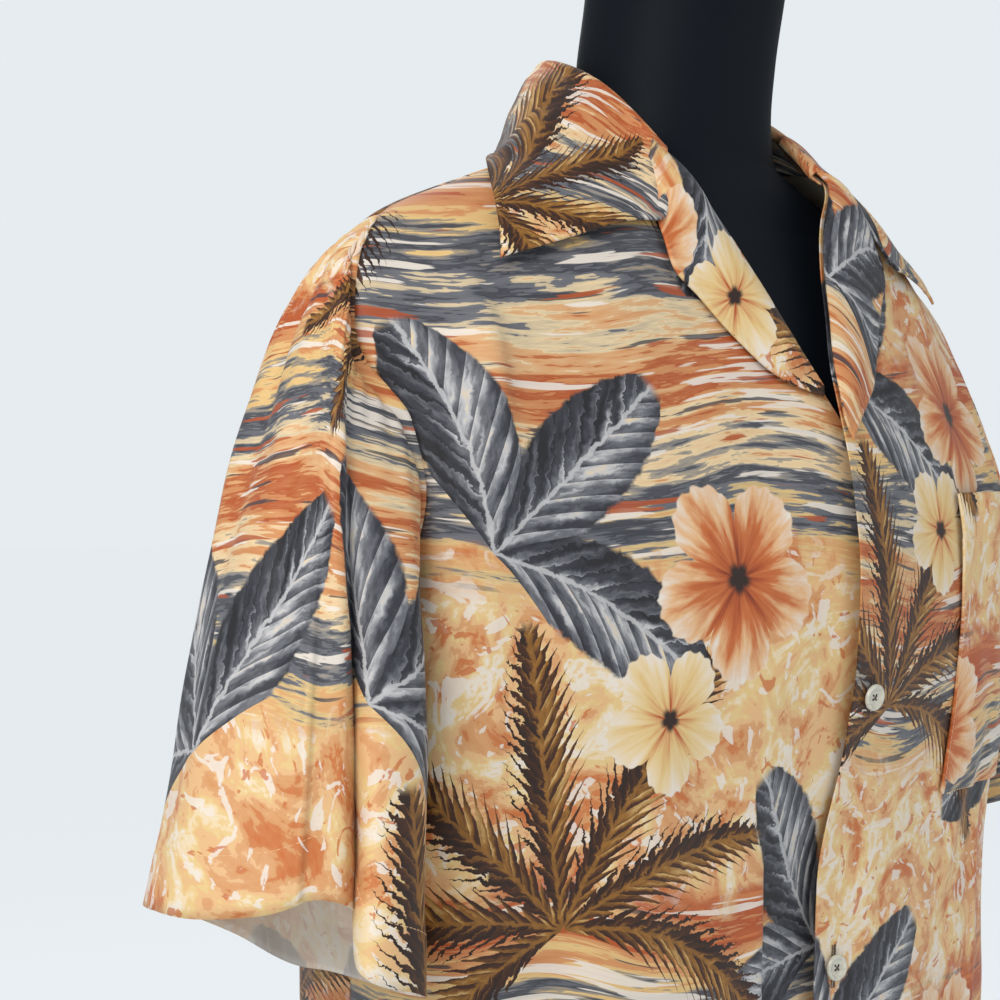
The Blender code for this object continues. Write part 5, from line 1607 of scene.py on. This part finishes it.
def add_threads(name, lines, radius, material, sides=4):
    """One piece of many short threads, each given by its two ends."""
    points, faces = [], []
    for start, end in lines:
        faces.extend(closed_tube(len(THREAD_RINGS), sides, len(points)))
        points.extend(tube_points(start, end, radius, sides))
    return show(add_mesh(name, points, faces, material), [])


def stitch_lines(path, normal, thick):
    """Stitches along a path of points, on the outer side of cloth of a thickness."""
    total = along_path(path)
    lifted = path + normal * (thick / 2)
    lines = []
    for at in np.arange(STITCH_PITCH, total[-1] - STITCH_PITCH, STITCH_PITCH):
        ends = np.array([np.interp((at, at + STITCH_LONG), total, column) for column in lifted.T])
        lines.append(ends.T)
    return lines


def inset_path(grid, distance_in):
    """A path over a grid, a set distance up from its last row, with its normals."""
    both = np.concatenate([grid, outward_normals(grid)], axis=-1)[::-1]
    down = along_rows(grid)
    from_edge = (down[-1] - down)[::-1]
    path = np.array([
        [np.interp(distance_in, from_edge[:, j], both[:, j, k]) for k in range(6)]
        for j in range(grid.shape[1])
    ])
    return path[:, :3], path[:, 3:]


# Buttons on the left front, a little wider than in the solids, and the stand.
BUTTON_HEIGHTS = (0.642, 0.510, 0.378, 0.246)
BUTTON_ACROSS = 0.0105
BUTTON_RADIUS = 0.0065
BUTTON_THICK = 0.0026
BUTTON_LIFT = 0.0011  # how far a button stands off the cloth
BUTTON_PROFILE = (
    # radius and height, as shares of the button's radius and thickness
    (0.00, 0.00),
    (0.70, 0.00),
    (0.90, 0.12),
    (1.00, 0.40),
    (1.00, 0.62),
    (0.96, 0.85),
    (0.90, 0.97),
    (0.83, 1.00),
    (0.76, 0.96),
    (0.70, 0.84),
    (0.63, 0.68),
    (0.54, 0.58),
    (0.40, 0.53),
    (0.00, 0.52),
)
BUTTON_TILT = np.array([-0.14, -0.14, 0])  # how a button leans on its thread
HOLE_OUT = 0.238  # share of the radius from the middle to each of the four holes
HOLE_RADIUS = 0.085
HOLE_UP = 0.53  # share of the thickness at which the holes show
HOLE_DISC = ((0, 0), (1, 0), (1, 1), (0, 1))
HOLE_DEPTH = 0.0002
BAR_UP = 0.00035  # how far the thread's bars stand over the holes
BAR_ASIDE = np.array([0.00012, -0.00008, 0])  # from one bar to the next
BUTTONHOLE_LENGTH = 0.0205
BUTTONHOLE_WIDTH = 0.0034
BUTTONHOLE_SLIT = 0.00018  # half the width of the slit
BUTTONHOLE_SLANT = 0.0005
BUTTONHOLE_PITCH = 0.0007
POLE_RADIUS = 0.014
BASE_RADIUS = 0.165
BASE_THICK = 0.008
BASE_ROUND = 0.003
BASE_FOOT_ROUND = 0.0006
BASE_STEPS = 8
FORM_BOTTOM_Z = FORM_SECTIONS[0][0]
FORM_TURN_COUNT = 144
FORM_LEVEL_COUNT = 150
# How many sides each turned shape has.
BUTTON_SIDES = 56
HOLE_SIDES = 12
POLE_SIDES = 64
BASE_SIDES = 128
DOME_SIDES = 48


def turned(profile, radius, height, sides):
    """Points and faces of a solid turned about Z, from a profile of radius and height."""
    points = [(0, 0, profile[0][1] * height)]
    for r, h in profile[1:-1]:
        for k in range(sides):
            angle = 2 * np.pi * k / sides
            points.append((r * radius * np.cos(angle), r * radius * np.sin(angle), h * height))
    points.append((0, 0, profile[-1][1] * height))
    last = len(points) - 1
    top = last - sides
    faces = (quads(len(profile) - 2, sides, True) + 1).tolist()
    for k in range(sides):
        n = (k + 1) % sides
        faces.append((0, 1 + n, 1 + k))
        faces.append((last, top + k, top + n))
    return np.array(points), faces


def button_frame(z):
    """Where a button sits on the left front: its seat and its side, up and out ways."""
    heights = np.array([WALL / 2, 0.02])
    seat, ahead = moved_out(front_left_point, np.full(2, BUTTON_ACROSS), np.full(2, z), heights)
    axis = unit(unit(ahead - seat) + BUTTON_TILT)
    side = unit(np.cross((0, 0, 1), axis))
    return seat + axis * BUTTON_LIFT, np.array([side, np.cross(axis, side), axis])


def add_button(number, z, pearl, thread, dark):
    """A button with four holes, and its thread in a cross over them, each bar doubled."""
    seat, ways = button_frame(z)
    points, faces = turned(BUTTON_PROFILE, BUTTON_RADIUS, BUTTON_THICK, BUTTON_SIDES)
    button = add_mesh(f"button_{number}_pearl", seat + points @ ways, faces, pearl)
    show(button, [f"button_{number}"])
    angle = np.pi / 4 + np.arange(4) * np.pi / 2
    out = BUTTON_RADIUS * HOLE_OUT
    holes = np.stack([np.cos(angle) * out, np.sin(angle) * out, np.full(4, HOLE_UP * BUTTON_THICK)], axis=1)
    bars = []
    for a, b in ((0, 2), (1, 3), (0, 2), (1, 3)):
        ends = holes[[a, b]] + BAR_ASIDE * len(bars) + (0, 0, BAR_UP)
        bars.append(seat + ends @ ways)
    add_threads(f"button_{number}_thread", bars, BUTTON_THREAD, thread, 5)
    # Painted shade: a flat dark disc in each hole stands in for the shade down inside it.
    disc, disc_faces = turned(HOLE_DISC, HOLE_RADIUS * BUTTON_RADIUS, HOLE_DEPTH, HOLE_SIDES)
    points, faces = [], []
    for at in holes:
        faces.extend([k + len(points) for k in face] for face in disc_faces)
        points.extend(seat + (disc + at - (0, 0, HOLE_DEPTH / 2)) @ ways)
    show(add_mesh(f"button_{number}_holes", points, faces, dark), [])


def buttonhole_threads(z):
    """Close slanting stitches down both sides of a buttonhole."""
    lines = []
    for k, up in enumerate(np.arange(-BUTTONHOLE_LENGTH / 2, BUTTONHOLE_LENGTH / 2, BUTTONHOLE_PITCH)):
        lift = np.full(2, WALL / 2 + 0.00012 + 0.00005 * (k % 3))
        for side in (-1, 1):
            across = BUTTON_ACROSS + side * np.array([BUTTONHOLE_SLIT, BUTTONHOLE_WIDTH / 2])
            height = z + up + np.array([0.0, BUTTONHOLE_SLANT])
            lines.append(moved_out(front_left_point, across, height, lift))
    return lines


def form_piece(material):
    """The torso and neck, through more rings than the solid has."""
    table = columns(FORM_SECTIONS)
    levels = np.linspace(table[0][1], table[0][-2], FORM_LEVEL_COUNT)
    levels = np.unique(np.concatenate([levels, table[0]]))
    rows = np.stack([fit(table[0], column, levels) for column in table], axis=-1)
    rings = form_grid(FORM_TURN_COUNT, rows)
    faces = closed_tube(len(rings), FORM_TURN_COUNT)
    form = add_mesh("form_body_jersey", rings.reshape(-1, 3), faces, material)
    return show(form, ["form_body"])


def stand_pieces(material):
    length_up = FORM_BOTTOM_Z - BASE_THICK
    pole = ((0, 0), (POLE_RADIUS, 0), (POLE_RADIUS, length_up), (0, length_up))
    points, faces = turned(pole, 1.0, 1.0, POLE_SIDES)
    steel_pole = add_mesh("form_pole_steel", points + (0, 0, BASE_THICK), faces, material)
    show(steel_pole, ["form_pole"])
    rim = [(0.0, 0.0), (BASE_RADIUS - BASE_FOOT_ROUND, 0.0), (BASE_RADIUS, BASE_FOOT_ROUND)]
    for k in range(BASE_STEPS + 1):
        angle = np.pi / 2 * k / BASE_STEPS
        out = BASE_RADIUS - BASE_ROUND + BASE_ROUND * np.cos(angle)
        rim.append((out, BASE_THICK - BASE_ROUND + BASE_ROUND * np.sin(angle)))
    rim.append((0.0, BASE_THICK))
    points, faces = turned(rim, 1.0, 1.0, BASE_SIDES)
    show(add_mesh("form_base_steel", points, faces, material), ["form_base"])


# Camera: level, at the wearer's right front.
AZIMUTH = np.radians(45)
CAMERA_AWAY = 0.90
CAMERA_ASIDE = 0.09
CAMERA_Z = 0.734
LENS_MM = 63
SENSOR_MM = 36
SHIFT_Y = 0.002
BACKGROUND = (0.790, 0.838, 0.868)
WORLD_STRENGTH = 0.52
FLOOR_GLOW = 0.87
FLOOR_HALF = 24.0
DOME_RADIUS = 35.0
DOME_RINGS = 24
LIT_POINT = np.array([0.0, 0.0, 0.72])
# Columns: name, place, size, power, colour
LIGHTS = (
    ("key", (-1.7, -0.55, 1.75), 1.2, 30, (1.0, 0.985, 0.96)),
    ("fill", (0.9, -1.9, 1.2), 1.6, 5, (0.97, 0.985, 1.0)),
    ("rim", (1.2, 1.3, 1.9), 1.2, 8, (1.0, 1.0, 1.0)),
)


def add_camera():
    to_camera = np.array([-np.sin(AZIMUTH), -np.cos(AZIMUTH)])
    to_right = np.array([np.cos(AZIMUTH), -np.sin(AZIMUTH)])
    x, y = to_camera * CAMERA_AWAY - to_right * CAMERA_ASIDE
    data = bpy.data.cameras.new("camera")
    data.lens = LENS_MM
    data.sensor_width = SENSOR_MM
    data.shift_y = SHIFT_Y
    data.clip_start = 0.02
    camera = bpy.data.objects.new("camera", data)
    camera.location = (x, y, CAMERA_Z)
    camera.rotation_euler = (np.pi / 2, 0, -AZIMUTH)
    bpy.context.scene.collection.objects.link(camera)
    bpy.context.scene.camera = camera


def add_light(name, place, size, power, colour):
    data = bpy.data.lights.new(name, "AREA")
    data.shape = "DISK"
    data.size = size
    data.energy = power
    data.color = colour
    light = bpy.data.objects.new(name, data)
    light.location = place
    way = LIT_POINT - place
    yaw = np.arctan2(way[1], way[0]) - np.pi / 2
    pitch = np.arctan2(np.hypot(way[0], way[1]), -way[2])
    light.rotation_euler = (pitch, 0, yaw)
    bpy.context.scene.collection.objects.link(light)


def add_studio():
    world = bpy.data.worlds.new("studio")
    world.use_nodes = True
    back = world.node_tree.nodes["Background"]
    back.inputs[0].default_value = (*BACKGROUND, 1)
    back.inputs[1].default_value = WORLD_STRENGTH
    bpy.context.scene.world = world
    bpy.context.scene.view_settings.view_transform = "Standard"
    for light in LIGHTS:
        add_light(*light)


def add_floor():
    material, tree = new_material("pale_floor")
    x, y, _ = coordinates(tree, "Object")
    tint = noise(x, y, 3.0, 2.0) * 0.02
    set_shader(tree, {
        "Base Color": mix(tint, (0.20, 0.20, 0.20, 1), (0.18, 0.18, 0.18, 1)),
        "Roughness": 0.9,
        "Specular IOR Level": 0.1,
        "Emission Color": (*BACKGROUND, 1),
        "Emission Strength": FLOOR_GLOW,
    })
    corners = [(-FLOOR_HALF, -FLOOR_HALF, 0), (FLOOR_HALF, -FLOOR_HALF, 0)]
    corners += [(FLOOR_HALF, FLOOR_HALF, 0), (-FLOOR_HALF, FLOOR_HALF, 0)]
    floor = add_mesh("floor", corners, [(0, 1, 2, 3)], material)


def add_backdrop():
    """A pale dome round the set that only shows; the world's light comes through it."""
    material, tree = new_material("backdrop")
    tree.nodes.remove(tree.nodes["Principled BSDF"])
    glow = tree.nodes.new("ShaderNodeEmission")
    glow.inputs[0].default_value = (*BACKGROUND, 1)
    tree.links.new(glow.outputs[0], tree.nodes["Material Output"].inputs[0])
    angle = np.pi * np.arange(1, DOME_RINGS) / DOME_RINGS
    rings = [(0.0, -1.0), *zip(np.sin(angle), -np.cos(angle)), (0.0, 1.0)]
    points, faces = turned(rings, DOME_RADIUS, DOME_RADIUS, DOME_SIDES)
    dome = add_mesh("backdrop", points, faces, material)
    dome.visible_diffuse = False
    dome.visible_glossy = False
    dome.visible_transmission = False
    dome.visible_shadow = False


def collar_stitch_lines(grid):
    return stitch_lines(*inset_path(grid[STAND_ROWS:], STITCH_IN), COLLAR_THICK)


def hem_stitch_lines(grid):
    return stitch_lines(*inset_path(grid, SLEEVE_HEM_WIDTH - HEM_STITCH_IN), WALL)


def build():
    outside = printed_cloth("printed_cloth")
    cloth = [outside, printed_cloth("printed_cloth_inside", INSIDE_PALE)]
    thread = thread_material("brown_thread", "dark_brown", "brown")
    pale_thread = thread_material("pale_thread", "tan", "cream")
    # Painted shade for the buttons' holes, in the threads' twisted dark colours.
    dark = thread_material("hole_shade", "ink", "dark_brown")
    back, back_grid = back_piece(cloth)
    right, right_grid = front_piece(-1, cloth, back_grid)
    left, left_grid = front_piece(1, cloth, back_grid)
    clear = keep_clear([grid[::2, ::2] for grid in (right_grid, left_grid, back_grid)])
    sleeves = []
    for side, grid in ((-1, right_grid), (1, left_grid)):
        edges = sleeve_edges(side, grid, back_grid)
        sleeves.append(sleeve_piece(side, clear, cloth, edges))
    lapels = [lapel_piece(side, clear, [outside]) for side in (-1, 1)]
    pocket, grid = pocket_piece(clear, [outside])
    pocket_stitches = add_threads(
        "pocket_stitches", pocket_seam(grid), STITCH_RADIUS, pale_thread)
    collar, grid = collar_piece(clear, [outside])
    collar_stitches = add_threads(
        "collar_stitches", collar_stitch_lines(grid), COLLAR_STITCH_RADIUS, thread)
    for (_, grid), name in zip(sleeves, ("right", "left")):
        name = f"sleeve_{name}_hem_stitches"
        add_threads(name, hem_stitch_lines(grid), STITCH_RADIUS, pale_thread)
    lines = [line for z in BUTTON_HEIGHTS for line in buttonhole_threads(z)]
    buttonholes = add_threads("buttonholes", lines, BUTTONHOLE_THREAD, thread)
    pearl = pearl_material()
    for number, z in enumerate(BUTTON_HEIGHTS, 1):
        add_button(number, z, pearl, thread, dark)
    form_piece(jersey_material())
    stand_pieces(steel_material())

    add_floor()
    add_backdrop()
    add_studio()
    add_camera()


build()
